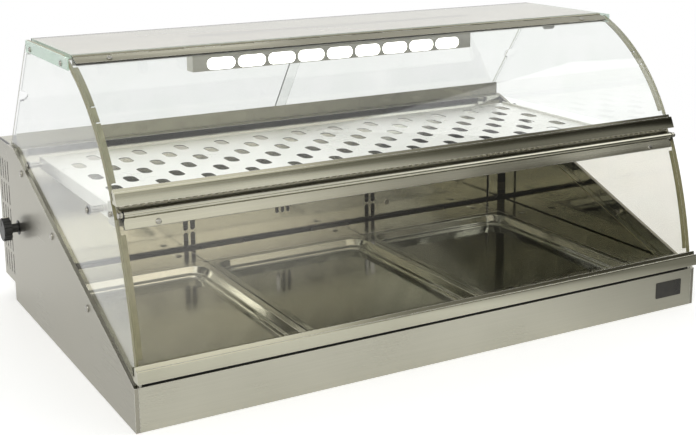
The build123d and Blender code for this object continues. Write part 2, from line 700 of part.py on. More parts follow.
save(back_wall, "back_wall")

# Housing floor, top cover and rear cover
inner_rear_d = HOUSING_DEPTH - SHEET
with BuildPart() as housing_floor:
    block(
        -BETWEEN_RETURNS, BETWEEN_RETURNS, BASE_DEPTH + SHEET + LIGHT_GAP, inner_rear_d,
        HOUSING_BOTTOM, HOUSING_BOTTOM + SHEET,
    )
    block(
        -BETWEEN_RETURNS, BETWEEN_RETURNS, BASE_DEPTH - 12, BASE_DEPTH + SHEET + LIGHT_GAP,
        HOUSING_BOTTOM, HOUSING_BOTTOM + SHEET,
    )
save(housing_floor, "housing_floor")

with BuildPart() as rear_top_cover:
    block(
        -BETWEEN_RETURNS, BETWEEN_RETURNS, TRACK_FRONT_D, inner_rear_d, HOUSING_TOP - SHEET, HOUSING_TOP
    )
    block(-BETWEEN_GLASS, BETWEEN_GLASS, BACK_WALL_D, TRACK_FRONT_D, HOUSING_TOP - SHEET, HOUSING_TOP)
    with BuildSketch(level(HOUSING_TOP)):
        with Locations((0, back(BACK_WALL_D + TOP_SLOT_BACK))):
            with GridLocations(*TOP_SLOT_PITCH, 8, 2):
                SlotOverall(*TOP_SLOT)
    extrude(amount=-SHEET, mode=Mode.SUBTRACT)
save(rear_top_cover, "rear_top_cover")

cover_screws = [
    (x, z)
    for z in (HOUSING_BOTTOM + COVER_SCREW_INSET, HOUSING_TOP - COVER_SCREW_INSET)
    for x in [COVER_SCREW_PITCH * i for i in range(-2, 3)]
]
with BuildPart() as rear_cover:
    block(
        -BETWEEN_RETURNS, BETWEEN_RETURNS, inner_rear_d, HOUSING_DEPTH,
        HOUSING_BOTTOM + LIGHT_GAP / 3, HOUSING_TOP - LIGHT_GAP / 3,
    )
    with BuildSketch(facing(inner_rear_d)):
        for x in (-LOUVRE_X, 0, LOUVRE_X):
            with Locations((x, LOUVRE_Z)):
                with GridLocations(1, LOUVRE_PITCH / 2, 1, LOUVRE_COUNT):
                    SlotOverall(LOUVRE_LENGTH, LOUVRE_WIDTH)
        with Locations((INLET_X, INLET_Z)):
            Rectangle(INLET_WIDTH + LIGHT_GAP, INLET_HEIGHT + LIGHT_GAP)
        with Locations((SWITCH_X, SWITCH_Z)):
            Rectangle(SWITCH_WIDTH + LIGHT_GAP, SWITCH_HEIGHT + LIGHT_GAP)
        for x, z in cover_screws:
            with Locations((x, z)):
                Circle(SCREW_RADIUS + SCREW_PLAY)
    extrude(amount=-SHEET, mode=Mode.SUBTRACT)
save(rear_cover, "rear_cover")

# Side glasses: their front edge follows the two flaps, their rear edge the door slope
flap_back = -(FLAP_GLASS + FLAP_REST_GAP)
side_foot_z = FRONT_HEIGHT + GLASS_LIFT
mid_high = BEAM_TOP + 3
mid_low = BEAM_TOP - 15


def side_glass_point(arc, centre_z, radius, z):
    depth, height = arc(flap_back, arc_height(centre_z, radius + flap_back, z))
    return back(depth), height


with BuildPart() as side_glass_right:
    with BuildSketch(upright(GLASS_IN)):
        with BuildLine():
            top_front = side_glass_point(upper_arc, UPPER_CENTRE_Z, UPPER_RADIUS, SIDE_GLASS_TOP)
            middle_z = (SIDE_GLASS_TOP + mid_high) / 2
            upper_mid = side_glass_point(upper_arc, UPPER_CENTRE_Z, UPPER_RADIUS, middle_z)
            upper_low = side_glass_point(upper_arc, UPPER_CENTRE_Z, UPPER_RADIUS, mid_high)
            lower_high = side_glass_point(lower_arc, LOWER_CENTRE_Z, LOWER_RADIUS, mid_low)
            lower_mid = side_glass_point(lower_arc, LOWER_CENTRE_Z, LOWER_RADIUS, (mid_low + side_foot_z) / 2)
            lower_low = side_glass_point(lower_arc, LOWER_CENTRE_Z, LOWER_RADIUS, side_foot_z)
            ramp_start = (side_foot_z - ramp_z(0, GLASS_TUCK)) / tan(radians(RAMP))
            over_panel = HOUSING_TOP + 1
            rear_foot = slope((over_panel - TRACK_FOOT_Z) / cos(radians(DOOR_LEAN)), 0)
            ramp_end_d = TRACK_FRONT_D - 13
            ThreePointArc(top_front, upper_mid, upper_low)
            Line(upper_low, lower_high)
            ThreePointArc(lower_high, lower_mid, lower_low)
            Polyline(
                lower_low,
                (back(ramp_start), side_foot_z),
                (back(ramp_end_d), ramp_z(ramp_end_d, GLASS_TUCK)),
                (back(TRACK_FRONT_D - 3), over_panel),
                (back(rear_foot[0]), rear_foot[1]),
                (back(SIDE_TOP_REAR_D), SIDE_GLASS_TOP),
                top_front,
            )
        make_face()
    extrude(amount=SIDE_GLASS)
    for depth, z in GLASS_SCREWS:
        rod_along_x(GLASS_IN, GLASS_OUT, depth, z, BIG_SCREW_RADIUS + SCREW_PLAY, Mode.SUBTRACT)
    for depth in CROSSBAR_D:
        bar_z = SHELF_TOP - SHEET - LIGHT_GAP - CROSSBAR / 2
        rod_along_x(GLASS_IN, GLASS_OUT, depth, bar_z, SCREW_RADIUS + SCREW_PLAY, Mode.SUBTRACT)
    band_z = SIDE_GLASS_TOP - SIDE_BAND_HEIGHT / 2 - 2.8
    for depth in BAND_SCREW_D:
        rod_along_x(GLASS_IN, GLASS_OUT, depth, band_z, SCREW_RADIUS + SCREW_PLAY, Mode.SUBTRACT)
    beam_screw_d = BEAM_D + BEAM_DEPTH / 2
    beam_screw_z = (BEAM_TOP + BEAM_BOTTOM) / 2
    rod_along_x(GLASS_IN, GLASS_OUT, beam_screw_d, beam_screw_z, SCREW_RADIUS + SCREW_PLAY, Mode.SUBTRACT)
save(side_glass_right, "side_glass_right")

with BuildPart() as side_glass_left:
    mirror(side_glass_right.part, about=Plane.YZ)
save(side_glass_left, "side_glass_left")

# Clear bands outside the top edges of the side glasses
with BuildPart() as side_bands:
    band_low = SIDE_GLASS_TOP - SIDE_BAND_HEIGHT
    band_rear_d = SIDE_TOP_REAR_D - SIDE_BAND_END
    block(GLASS_OUT, GLASS_OUT + SIDE_BAND, SIDE_BAND_FRONT_D, band_rear_d, band_low, SIDE_GLASS_TOP)
    for depth in BAND_SCREW_D:
        rod_along_x(GLASS_OUT, HALF, depth, band_z, SCREW_RADIUS + SCREW_PLAY, Mode.SUBTRACT)
    mirror(about=Plane.YZ)
save(side_bands, "side_bands")

# Top plate and the angles that carry its sides
with BuildPart() as top_glass:
    block(-TOP_HALF, TOP_HALF, PLATE_FRONT_D, SIDE_TOP_REAR_D, PLATE_UNDER, PLATE_TOP)
save(top_glass, "top_glass")

angle_front_d = PLATE_FRONT_D + 10
angle_rear_d = SIDE_TOP_REAR_D - 20
with BuildPart() as top_angles:
    block(
        GLASS_IN - RAIL_SHEET, GLASS_IN, angle_front_d, angle_rear_d, band_low, PLATE_UNDER
    )
    block(
        GLASS_IN - 14, GLASS_IN, angle_front_d, angle_rear_d, PLATE_UNDER - RAIL_SHEET, PLATE_UNDER
    )
    for depth in BAND_SCREW_D:
        rod_along_x(GLASS_IN - RAIL_SHEET, GLASS_IN, depth, band_z, SCREW_RADIUS + SCREW_PLAY, Mode.SUBTRACT)
    mirror(about=Plane.YZ)
save(top_angles, "top_angles")

# Knuckles alternate along the hinge line of the upper flap
knuckle_length = 2 * TOP_HALF / KNUCKLE_COUNT
knuckle_starts = [-TOP_HALF + knuckle_length * i for i in range(KNUCKLE_COUNT)]


def knuckles(starts, web_d0, web_d1, web_z0, web_z1):
    """Row of hinge knuckles, each with the web that joins it to its leaf."""
    for start in starts:
        first = start + KNUCKLE_GAP / 2
        last = start + knuckle_length - KNUCKLE_GAP / 2
        rod_along_x(first, last, HINGE_D, HINGE_Z, KNUCKLE_RADIUS)
        block(first, last, web_d0, web_d1, web_z0, web_z1)


# Front rail under the top plate, with the fixed knuckles
rail_top = PLATE_UNDER
with BuildPart() as top_front_rail:
    block(-TOP_HALF, TOP_HALF, HINGE_D - 1.2, PLATE_FRONT_D + 8, rail_top - RAIL_SHEET, rail_top)
    block(-TOP_HALF, TOP_HALF, HINGE_D + 1, HINGE_D + 1 + RAIL_SHEET, rail_top - 13, rail_top)
    knuckles(knuckle_starts[0::2], HINGE_D - 1, HINGE_D + 1, rail_top - RAIL_SHEET / 2, HINGE_Z)
    rod_along_x(-TOP_HALF, TOP_HALF, HINGE_D, HINGE_Z, HINGE_PIN_RADIUS + RUNNING, Mode.SUBTRACT)
save(top_front_rail, "top_front_rail")

with BuildPart() as upper_hinge_pin:
    rod_along_x(-TOP_HALF, TOP_HALF, HINGE_D, HINGE_Z, HINGE_PIN_RADIUS)
save(upper_hinge_pin, "upper_hinge_pin")

# Grey tab that hangs behind the front rail
tab_d = HINGE_D + 1 + RAIL_SHEET
with BuildPart() as ceiling_tab:
    with BuildSketch(facing(tab_d)):
        with Locations((TAB_X, rail_top - RAIL_SHEET - TAB_DROP / 2)):
            Rectangle(TAB_WIDTH, TAB_DROP)
    extrude(amount=-2)
    tab_foot = ceiling_tab.edges().filter_by(Axis.Y).group_by(Axis.Z)[0]
    fillet(tab_foot, 5)
save(ceiling_tab, "ceiling_tab")

# Upper flap: glass, clamp channel with the moving knuckles, screws and handle rail
channel_angle = degrees(CHANNEL_DEPTH / UPPER_RADIUS)
play_angle = degrees(CHANNEL_PLAY / UPPER_RADIUS)
wall_angle = degrees(CHANNEL_WALL / UPPER_RADIUS)
screw_angle = UPPER_TOP_ANGLE - channel_angle * 0.55
glass_inner = -FLAP_GLASS
with BuildPart() as upper_glass:
    with BuildSketch(upright(-FLAP_HALF)):
        arc_band(upper_arc, glass_inner, 0, UPPER_FOOT_ANGLE, UPPER_TOP_ANGLE)
    extrude(amount=2 * FLAP_HALF)
    for x in (-FLAP_SCREW_X, FLAP_SCREW_X):
        with BuildSketch(outward(upper_arc, x, screw_angle)):
            Circle(SCREW_RADIUS + SCREW_PLAY)
        extrude(amount=-2 * FLAP_GLASS, both=True, mode=Mode.SUBTRACT)
save(upper_glass, "upper_glass")

with BuildPart() as upper_channel:
    with BuildSketch(upright(-TOP_HALF)):
        end_angle = UPPER_TOP_ANGLE + play_angle + wall_angle
        arc_band(
            upper_arc, glass_inner - CHANNEL_PLAY - CHANNEL_WALL, CHANNEL_PLAY + CHANNEL_WALL,
            UPPER_TOP_ANGLE - channel_angle, end_angle,
        )
    extrude(amount=2 * TOP_HALF)
    with BuildSketch(upright(-TOP_HALF)):
        arc_band(
            upper_arc, glass_inner - CHANNEL_PLAY, CHANNEL_PLAY,
            UPPER_TOP_ANGLE - 2 * channel_angle, UPPER_TOP_ANGLE + play_angle,
        )
    extrude(amount=2 * TOP_HALF, mode=Mode.SUBTRACT)
    end_d, end_z = upper_arc(0, end_angle)
    knuckles(knuckle_starts[1::2], end_d - 0.5, HINGE_D, end_z - 0.6, end_z + 0.9)
    rod_along_x(-TOP_HALF, TOP_HALF, HINGE_D, HINGE_Z, HINGE_PIN_RADIUS + RUNNING, Mode.SUBTRACT)
    for x in (-FLAP_SCREW_X, FLAP_SCREW_X):
        with BuildSketch(outward(upper_arc, x, screw_angle)):
            Circle(SCREW_RADIUS + SCREW_PLAY)
        extrude(amount=-2 * FLAP_GLASS, both=True, mode=Mode.SUBTRACT)
save(upper_channel, "upper_channel")


def clamp_screw(plane, outside, inside):
    """Screw with a domed head outside and a nut inside, square to a flap."""
    with Locations(plane.offset(outside).location):
        add(SMALL_DOME)
    with BuildSketch(plane.offset(outside)) as shank:
        Circle(SCREW_RADIUS)
    extrude(shank.sketch, amount=-(outside + inside + SCREW_HEAD_THICK))
    with BuildSketch(plane.offset(-inside - NUT_EASE)) as nut:
        RegularPolygon(SCREW_HEAD * 0.9, 6)
    extrude(nut.sketch, amount=-SCREW_HEAD_THICK)


with BuildPart() as upper_screws:
    for x in (-FLAP_SCREW_X, FLAP_SCREW_X):
        clamp_screw(
            outward(upper_arc, x, screw_angle),
            CHANNEL_PLAY + CHANNEL_WALL,
            FLAP_GLASS + CHANNEL_PLAY + CHANNEL_WALL,
        )
save(upper_screws, "upper_screws")


def handle_rail(arc, foot_angle, half, floor_z):
    """Handle rail clipped on the foot of a flap, with a lip, a groove and a flat face."""
    radius = UPPER_RADIUS if arc is upper_arc else LOWER_RADIUS
    foot = outward(arc, -half, foot_angle)
    section = Plane(origin=foot.origin, x_dir=foot.z_dir, z_dir=(1, 0, 0))
    with BuildSketch(section) as profile:
        # Local x points out of the flap and local y down along it
        with BuildLine():
            Polyline(
                (-FLAP_GLASS - HANDLE_BACK, 14),
                (-FLAP_GLASS - HANDLE_BACK, -HANDLE_SLOT_TOP),
                (HANDLE_LIP - 3.1, -HANDLE_SLOT_TOP),
                (HANDLE_LIP - 2.2, -HANDLE_LIP_TOP),
                (HANDLE_LIP, -HANDLE_LIP_TOP),
                (HANDLE_LIP + 0.8, -HANDLE_FACE_TOP + 0.4),
                (HANDLE_FACE - 1.8, -HANDLE_FACE_TOP + 1.8),
                (HANDLE_FACE - 1.4, -HANDLE_FACE_TOP),
                (HANDLE_FACE, -HANDLE_FACE_TOP),
                (HANDLE_FACE, 14),
                close=True,
            )
        make_face()
    extrude(profile.sketch, amount=2 * half)
    slot = degrees(30 / radius)
    play = degrees(HANDLE_PLAY / radius)
    with BuildSketch(upright(-half)) as groove:
        arc_band(arc, -FLAP_GLASS - HANDLE_PLAY, HANDLE_PLAY, foot_angle - play, foot_angle + slot)
    extrude(groove.sketch, amount=2 * half, mode=Mode.SUBTRACT)
    # Ends relieved where the rail passes in front of the side glasses
    for start in (-half, BETWEEN_GLASS):
        with BuildSketch(upright(start)) as relief:
            relief_front = -FLAP_GLASS - HANDLE_BACK - 2
            arc_band(arc, relief_front, flap_back + LIGHT_GAP, foot_angle - 3, foot_angle + 3)
        extrude(relief.sketch, amount=half - BETWEEN_GLASS, mode=Mode.SUBTRACT)
    foot_d, foot_z = arc(0, foot_angle)
    block(-half, half, foot_d - 60, foot_d + 60, floor_z - 40, floor_z, Mode.SUBTRACT)


with BuildPart() as upper_handle:
    handle_rail(upper_arc, UPPER_FOOT_ANGLE, UPPER_HANDLE_HALF, UPPER_HANDLE_FLOOR)
save(upper_handle, "upper_handle")

with BuildPart() as lower_handle:
    handle_rail(lower_arc, LOWER_FOOT_ANGLE, LOWER_HANDLE_HALF, LOWER_HANDLE_FLOOR)
save(lower_handle, "lower_handle")

# Lower flap: glass, hinge tube with the leg behind the glass, clamp strip and screws
clamp_angle = LOWER_TOP_ANGLE - degrees(CLAMP_SCREW_DOWN / LOWER_RADIUS)
leg_low = LOWER_TOP_ANGLE - degrees(CLAMP_DROP / LOWER_RADIUS)
with BuildPart() as lower_glass:
    with BuildSketch(upright(-FLAP_HALF)):
        arc_band(lower_arc, glass_inner, 0, LOWER_FOOT_ANGLE, LOWER_TOP_ANGLE)
    extrude(amount=2 * FLAP_HALF)
    for x in (-CLAMP_SCREW_X, CLAMP_SCREW_X):
        with BuildSketch(outward(lower_arc, x, clamp_angle)):
            Circle(SCREW_RADIUS + SCREW_PLAY)
        extrude(amount=-2 * FLAP_GLASS, both=True, mode=Mode.SUBTRACT)
save(lower_glass, "lower_glass")

leg_out = glass_inner - CHANNEL_PLAY
leg_in = leg_out - CLAMP_STRIP
with BuildPart() as hinge_tube:
    rod_along_x(-HINGE_TUBE_HALF, HINGE_TUBE_HALF, ROD_D, ROD_Z, TUBE_WALL_RADIUS)
    web_low = LOWER_TOP_ANGLE + degrees(0.4 / LOWER_RADIUS)
    web_high = LOWER_TOP_ANGLE + degrees(2.4 / LOWER_RADIUS)
    with BuildSketch(upright(-HINGE_TUBE_HALF)):
        arc_band(lower_arc, leg_in, ROD_OUT, web_low, web_high)
        arc_band(lower_arc, leg_in, leg_out, leg_low, web_high)
    extrude(amount=2 * HINGE_TUBE_HALF)
    rod_along_x(-HALF, HALF, ROD_D, ROD_Z, ROD_RADIUS + RUNNING, Mode.SUBTRACT)
    for x in (-CLAMP_SCREW_X, CLAMP_SCREW_X):
        with BuildSketch(outward(lower_arc, x, clamp_angle).offset(leg_in - 1)):
            Circle(SCREW_RADIUS + SCREW_PLAY)
        extrude(amount=CLAMP_STRIP + 2, mode=Mode.SUBTRACT)
save(hinge_tube, "hinge_tube")

with BuildPart() as clamp_strip:
    strip_high = LOWER_TOP_ANGLE - degrees(0.8 / LOWER_RADIUS)
    with BuildSketch(upright(-HINGE_TUBE_HALF)):
        arc_band(lower_arc, CHANNEL_PLAY, CHANNEL_PLAY + CLAMP_STRIP, leg_low, strip_high)
    extrude(amount=2 * HINGE_TUBE_HALF)
    for x in (-CLAMP_SCREW_X, CLAMP_SCREW_X):
        with BuildSketch(outward(lower_arc, x, clamp_angle).offset(-1)):
            Circle(SCREW_RADIUS + SCREW_PLAY)
        extrude(amount=CLAMP_STRIP + 2, mode=Mode.SUBTRACT)
save(clamp_strip, "clamp_strip")

with BuildPart() as clamp_screws:
    for x in (-CLAMP_SCREW_X, CLAMP_SCREW_X):
        clamp_screw(outward(lower_arc, x, clamp_angle), CHANNEL_PLAY + CLAMP_STRIP, -leg_in)
save(clamp_screws, "clamp_screws")

# Middle beam, the strip of oval holes on it, and the brackets that hold the hinge rod
beam_half = BETWEEN_GLASS - BRACKET_PLATE
with BuildPart() as mid_beam:
    rear_d = BEAM_D + BEAM_DEPTH
    block(-beam_half, beam_half, BEAM_D, BEAM_D + SHEET, BEAM_BOTTOM, BEAM_TOP)
    block(-beam_half, beam_half, BEAM_D, rear_d, BEAM_TOP - SHEET, BEAM_TOP)
    block(-beam_half, beam_half, BEAM_D, rear_d, BEAM_BOTTOM, BEAM_BOTTOM + SHEET)
    block(-beam_half, beam_half, rear_d - SHEET, rear_d, BEAM_BOTTOM, BEAM_BOTTOM + 6)
save(mid_beam, "mid_beam")

with BuildPart() as perforated_strip:
    strip_z = BEAM_TOP + 0.6 - STRIP_HEIGHT / 2
    with BuildSketch(facing(BEAM_D)):
        with Locations((0, strip_z)):
            Rectangle(2 * TOP_HALF, STRIP_HEIGHT)
            with GridLocations(STRIP_HOLE_PITCH, 1, STRIP_HOLE_COUNT, 1):
                SlotOverall(7.5, 4.2, mode=Mode.SUBTRACT)
    extrude(amount=STRIP_THICK)
save(perforated_strip, "perforated_strip")

with BuildPart() as hinge_brackets:
    block(beam_half, BETWEEN_GLASS, BEAM_D, rear_d, BEAM_BOTTOM, BEAM_TOP)
    rod_along_x(beam_half, BETWEEN_GLASS, ROD_D, ROD_Z, TUBE_WALL_RADIUS)
    block(
        beam_half, BETWEEN_GLASS, ROD_D, BEAM_D, ROD_Z - TUBE_WALL_RADIUS + 0.1, ROD_Z + TUBE_WALL_RADIUS
    )
    rod_along_x(beam_half, BETWEEN_GLASS, ROD_D, ROD_Z, ROD_RADIUS + RUNNING, Mode.SUBTRACT)
    rod_along_x(
        beam_half, BETWEEN_GLASS, beam_screw_d, beam_screw_z, SCREW_RADIUS + SCREW_PLAY, Mode.SUBTRACT
    )
    mirror(about=Plane.YZ)
save(hinge_brackets, "hinge_brackets")

with BuildPart() as lower_hinge_rod:
    rod_end = GLASS_OUT - 2
    rod_along_x(-rod_end, rod_end, ROD_D, ROD_Z, ROD_RADIUS)
    rod_along_x(BETWEEN_GLASS + 0.2, rod_end, ROD_D, ROD_Z, TUBE_WALL_RADIUS - 0.4)
    rod_along_x(-rod_end, -BETWEEN_GLASS - 0.2, ROD_D, ROD_Z, TUBE_WALL_RADIUS - 0.4)
save(lower_hinge_rod, "lower_hinge_rod")

# Stops on the front panel, under the lower handle rail
with BuildPart() as flap_stops:
    for x in (-STOP_X, STOP_X):
        with BuildSketch(level(FRONT_HEIGHT)):
            with Locations((x, back(STOP_D))):
                Circle(3.4)
        extrude(amount=4)
        with BuildSketch(level(FRONT_HEIGHT)):
            with Locations((x, back(STOP_D))):
                Circle(2)
        extrude(amount=LOWER_HANDLE_FLOOR - FRONT_HEIGHT - LIGHT_GAP)
save(flap_stops, "flap_stops")

# Lamp: a sheet housing with oval windows, a diffuser behind them and a tube
with BuildPart() as lamp_housing:
    lamp_rear = LAMP_FRONT_D + LAMP_DEPTH
    block(-LAMP_HALF, LAMP_HALF, LAMP_FRONT_D, lamp_rear, LAMP_BOTTOM, PLATE_UNDER)
    block(
        -LAMP_HALF + LAMP_SHEET, LAMP_HALF - LAMP_SHEET,
        LAMP_FRONT_D + LAMP_SHEET, lamp_rear - LAMP_SHEET,
        LAMP_BOTTOM + LAMP_SHEET, PLATE_UNDER - LAMP_SHEET, Mode.SUBTRACT,
    )
    window_z = LAMP_BOTTOM + WINDOW_LIFT + WINDOW_HEIGHT / 2
    with BuildSketch(facing(LAMP_FRONT_D)):
        with Locations((0, window_z)):
            with GridLocations(WINDOW_PITCH, 1, WINDOW_COUNT, 1):
                SlotOverall(WINDOW_LENGTH, WINDOW_HEIGHT)
    extrude(amount=-LAMP_SHEET, mode=Mode.SUBTRACT)
save(lamp_housing, "lamp_housing")

with BuildPart() as lamp_diffuser:
    inner_half = LAMP_HALF - LAMP_SHEET - LIGHT_GAP
    front_d = LAMP_FRONT_D + LAMP_SHEET
    back_d = front_d + DIFFUSER
    top_z = window_z + DIFFUSER_UP
    block(-inner_half, inner_half, front_d, back_d, LAMP_BOTTOM + LAMP_SHEET, top_z)
save(lamp_diffuser, "lamp_diffuser")

with BuildPart() as lamp_tube:
    tube_d = lamp_rear - LAMP_SHEET - TUBE_RADIUS - LIGHT_GAP
    rod_along_x(-inner_half, inner_half, tube_d, window_z, TUBE_RADIUS)
save(lamp_tube, "lamp_tube")

# Shelf with obround slots in alternating rows
with BuildPart() as shelf:
    block(-SHELF_HALF, SHELF_HALF, SHELF_FRONT_D, SHELF_REAR_D, SHELF_TOP - SHEET, SHELF_TOP)
    for edge in (SHELF_FRONT_D, SHELF_REAR_D - SHEET):
        block(-SHELF_HALF, SHELF_HALF, edge, edge + SHEET, SHELF_TOP - SHELF_LIP, SHELF_TOP)
    with BuildSketch(level(SHELF_TOP)):
        for row in range(SHELF_ROWS):
            shift = SHELF_SLOT_SHIFT if row % 2 == 0 else -SHELF_SLOT_SHIFT
            row_d = SHELF_REAR_D - SHELF_LAST_ROW - SHELF_ROW_PITCH * row
            with Locations((SHELF_SLOT_CENTRE + shift, back(row_d))):
                with GridLocations(SHELF_SLOT_PITCH, 1, SHELF_COLUMNS, 1):
                    SlotOverall(SHELF_SLOT_LENGTH, SHELF_SLOT_WIDTH, rotation=90)
    extrude(amount=-SHEET, mode=Mode.SUBTRACT)
save(shelf, "shelf")

# Frame under the shelf, its studs to the side glasses and their pads
rail_in = SHELF_HALF + LIGHT_GAP
rail_out = rail_in + SIDE_RAIL
bar_top = SHELF_TOP - SHEET - LIGHT_GAP
with BuildPart() as shelf_frame:
    rail_rear_d = SHELF_REAR_D - SIDE_RAIL_END
    block(rail_in, rail_out, rail_rear_d - SIDE_RAIL_LENGTH, rail_rear_d, SIDE_RAIL_LOW, SIDE_RAIL_TOP)
    for depth in CROSSBAR_D:
        rod_along_x(rail_in, rail_out, depth, bar_z, SCREW_RADIUS + SCREW_PLAY, Mode.SUBTRACT)
    mirror(about=Plane.YZ)
    for depth in CROSSBAR_D:
        block(-rail_in, rail_in, depth - CROSSBAR / 2, depth + CROSSBAR / 2, bar_top - CROSSBAR, bar_top)
        for edge in (-rail_in, rail_in - CROSSBAR_SCREW):
            rod_along_x(edge, edge + CROSSBAR_SCREW, depth, bar_z, SCREW_RADIUS + SCREW_PLAY, Mode.SUBTRACT)
save(shelf_frame, "shelf_frame")

pad_in = GLASS_IN - PAD_THICK
with BuildPart() as shelf_studs:
    for depth in CROSSBAR_D:
        rod_along_x(rail_out, pad_in, depth, bar_z, STUD_RADIUS)
        rod_along_x(rail_in - 12, GLASS_OUT, depth, bar_z, SCREW_RADIUS)
        head_on_side(SMALL_DOME, GLASS_OUT, depth, bar_z)
    mirror(about=Plane.YZ)
save(shelf_studs, "shelf_studs")

with BuildPart() as stud_pads:
    for depth in CROSSBAR_D:
        rod_along_x(pad_in, GLASS_IN, depth, bar_z, PAD_RADIUS)
        rod_along_x(pad_in, GLASS_IN, depth, bar_z, SCREW_RADIUS + RUNNING, Mode.SUBTRACT)
    mirror(about=Plane.YZ)
save(stud_pads, "stud_pads")


def track_section(start, end, groove_start, groove_end):
    """Track from start to end up the slope, with a groove for each door."""
    polygon(slope(start, 0.2), slope(start, TRACK_INSIDE), slope(end, TRACK_INSIDE), slope(end, 0.2))
    for door in (OUTER_DOOR, INNER_DOOR):
        polygon(
            slope(groove_start, door - DOOR_PLAY),
            slope(groove_start, door + DOOR_GLASS + DOOR_PLAY),
            slope(groove_end, door + DOOR_GLASS + DOOR_PLAY),
            slope(groove_end, door - DOOR_PLAY),
            mode=Mode.SUBTRACT,
        )


# Door tracks: the lower one stands on the housing, the upper one hangs under the top plate
with BuildPart() as door_track_lower:
    with BuildSketch(upright(-BETWEEN_GLASS)):
        foot_rear = slope(0, 0.2)
        foot_inner = slope(0, TRACK_INSIDE)
        polygon(
            (TRACK_FRONT_D, HOUSING_TOP),
            (foot_rear[0], HOUSING_TOP),
            foot_rear,
            foot_inner,
            (TRACK_FRONT_D + SHEET, HOUSING_TOP + SHEET),
            (TRACK_FRONT_D + SHEET, TRACK_FRONT_TOP),
            (TRACK_FRONT_D, TRACK_FRONT_TOP),
        )
        track_section(0, TRACK_DEPTH, TRACK_FLOOR, TRACK_DEPTH + 1)
    extrude(amount=2 * BETWEEN_GLASS)
save(door_track_lower, "door_track_lower")

with BuildPart() as door_track_upper:
    with BuildSketch(upright(-BETWEEN_GLASS)):
        roof_rear = slope(SLOPE_LENGTH, 0.2)
        roof_inner = slope(SLOPE_LENGTH, TRACK_INSIDE)
        polygon(
            roof_rear,
            roof_inner,
            (roof_inner[0], PLATE_UNDER),
            (SIDE_TOP_REAR_D, PLATE_UNDER),
        )
        mouth = SLOPE_LENGTH - TRACK_DEPTH
        track_section(mouth, SLOPE_LENGTH, mouth - 1, SLOPE_LENGTH - TRACK_FLOOR)
    extrude(amount=2 * BETWEEN_GLASS)
save(door_track_upper, "door_track_upper")

# Sliding doors
door_low = TRACK_FLOOR + LIGHT_GAP
door_high = SLOPE_LENGTH - TRACK_FLOOR - DOOR_LIFT
door_end = BETWEEN_GLASS - DOOR_END_GAP
for name, inside, x0, x1, finger in (
    ("door_left", OUTER_DOOR, -door_end, DOOR_LAP, -door_end),
    ("door_right", INNER_DOOR, -DOOR_LAP, door_end, door_end),
):
    with BuildPart() as door:
        with BuildSketch(upright(x0)):
            polygon(
                slope(door_low, inside),
                slope(door_low, inside + DOOR_GLASS),
                slope(door_high, inside + DOOR_GLASS),
                slope(door_high, inside),
            )
        extrude(amount=x1 - x0)
        middle_d, middle_z = slope((door_low + door_high) / 2, inside)
        lean = radians(DOOR_LEAN)
        finger_plane = Plane(
            origin=(finger, back(middle_d), middle_z), x_dir=(1, 0, 0), z_dir=(0, cos(lean), sin(lean))
        )
        with BuildSketch(finger_plane):
            Circle(DOOR_FINGER_RADIUS)
        extrude(amount=DOOR_GLASS + 1, both=True, mode=Mode.SUBTRACT)
    save(door, name)

# Thermostat behind the left panel, with its bush through the panel and its shaft in the knob
with BuildPart() as thermostat:
    body_front = BACK_WALL_D + SHEET + LIGHT_GAP
    block(-INNER + LIGHT_GAP, -INNER + 30, body_front, body_front + 42, KNOB_Z - 22, KNOB_Z + 22)
    rod_along_x(-HALF - 1, -INNER + 1, KNOB_D, KNOB_Z, BUSH_RADIUS - 2)
    rod_along_x(-HALF - KNOB_STANDOFF - KNOB_THICK + 5, -INNER, KNOB_D, KNOB_Z, SHAFT_RADIUS)
save(thermostat, "thermostat")

with BuildPart() as knob:
    disc_x = -HALF - KNOB_STANDOFF
    rod_along_x(disc_x - KNOB_THICK, disc_x, KNOB_D, KNOB_Z, KNOB_RADIUS)
    chamfer(knob.edges().group_by(Axis.X)[0], 1.5)
    with BuildSketch(upright(disc_x)):
        with Locations((back(KNOB_D), KNOB_Z)):
            with PolarLocations(KNOB_RADIUS + 2.2, 12, start_angle=15):
                Circle(4)
    extrude(amount=-KNOB_THICK, mode=Mode.SUBTRACT)
    rod_along_x(disc_x, -HALF - 1 - LIGHT_GAP, KNOB_D, KNOB_Z, KNOB_STEM_RADIUS)
    rod_along_x(disc_x - KNOB_THICK + 4.7, -HALF, KNOB_D, KNOB_Z, SHAFT_RADIUS + RUNNING, Mode.SUBTRACT)
    block(disc_x - KNOB_THICK - 1, disc_x - KNOB_THICK + 1, KNOB_D - 1, KNOB_D + 1, KNOB_Z + 6, KNOB_Z + 19,
          Mode.SUBTRACT)
save(knob, "knob")

# Probe fitting in the back wall
with BuildPart() as probe:
    with BuildSketch(facing(BACK_WALL_D)):
        with Locations((PROBE_X, PROBE_Z)):
            Circle(PROBE_RADIUS + 2.5)
    extrude(amount=1.5)
    with BuildSketch(facing(BACK_WALL_D - 1.5)):
        with Locations((PROBE_X, PROBE_Z)):
            Circle(PROBE_RADIUS)
    extrude(amount=-30)
save(probe, "probe")

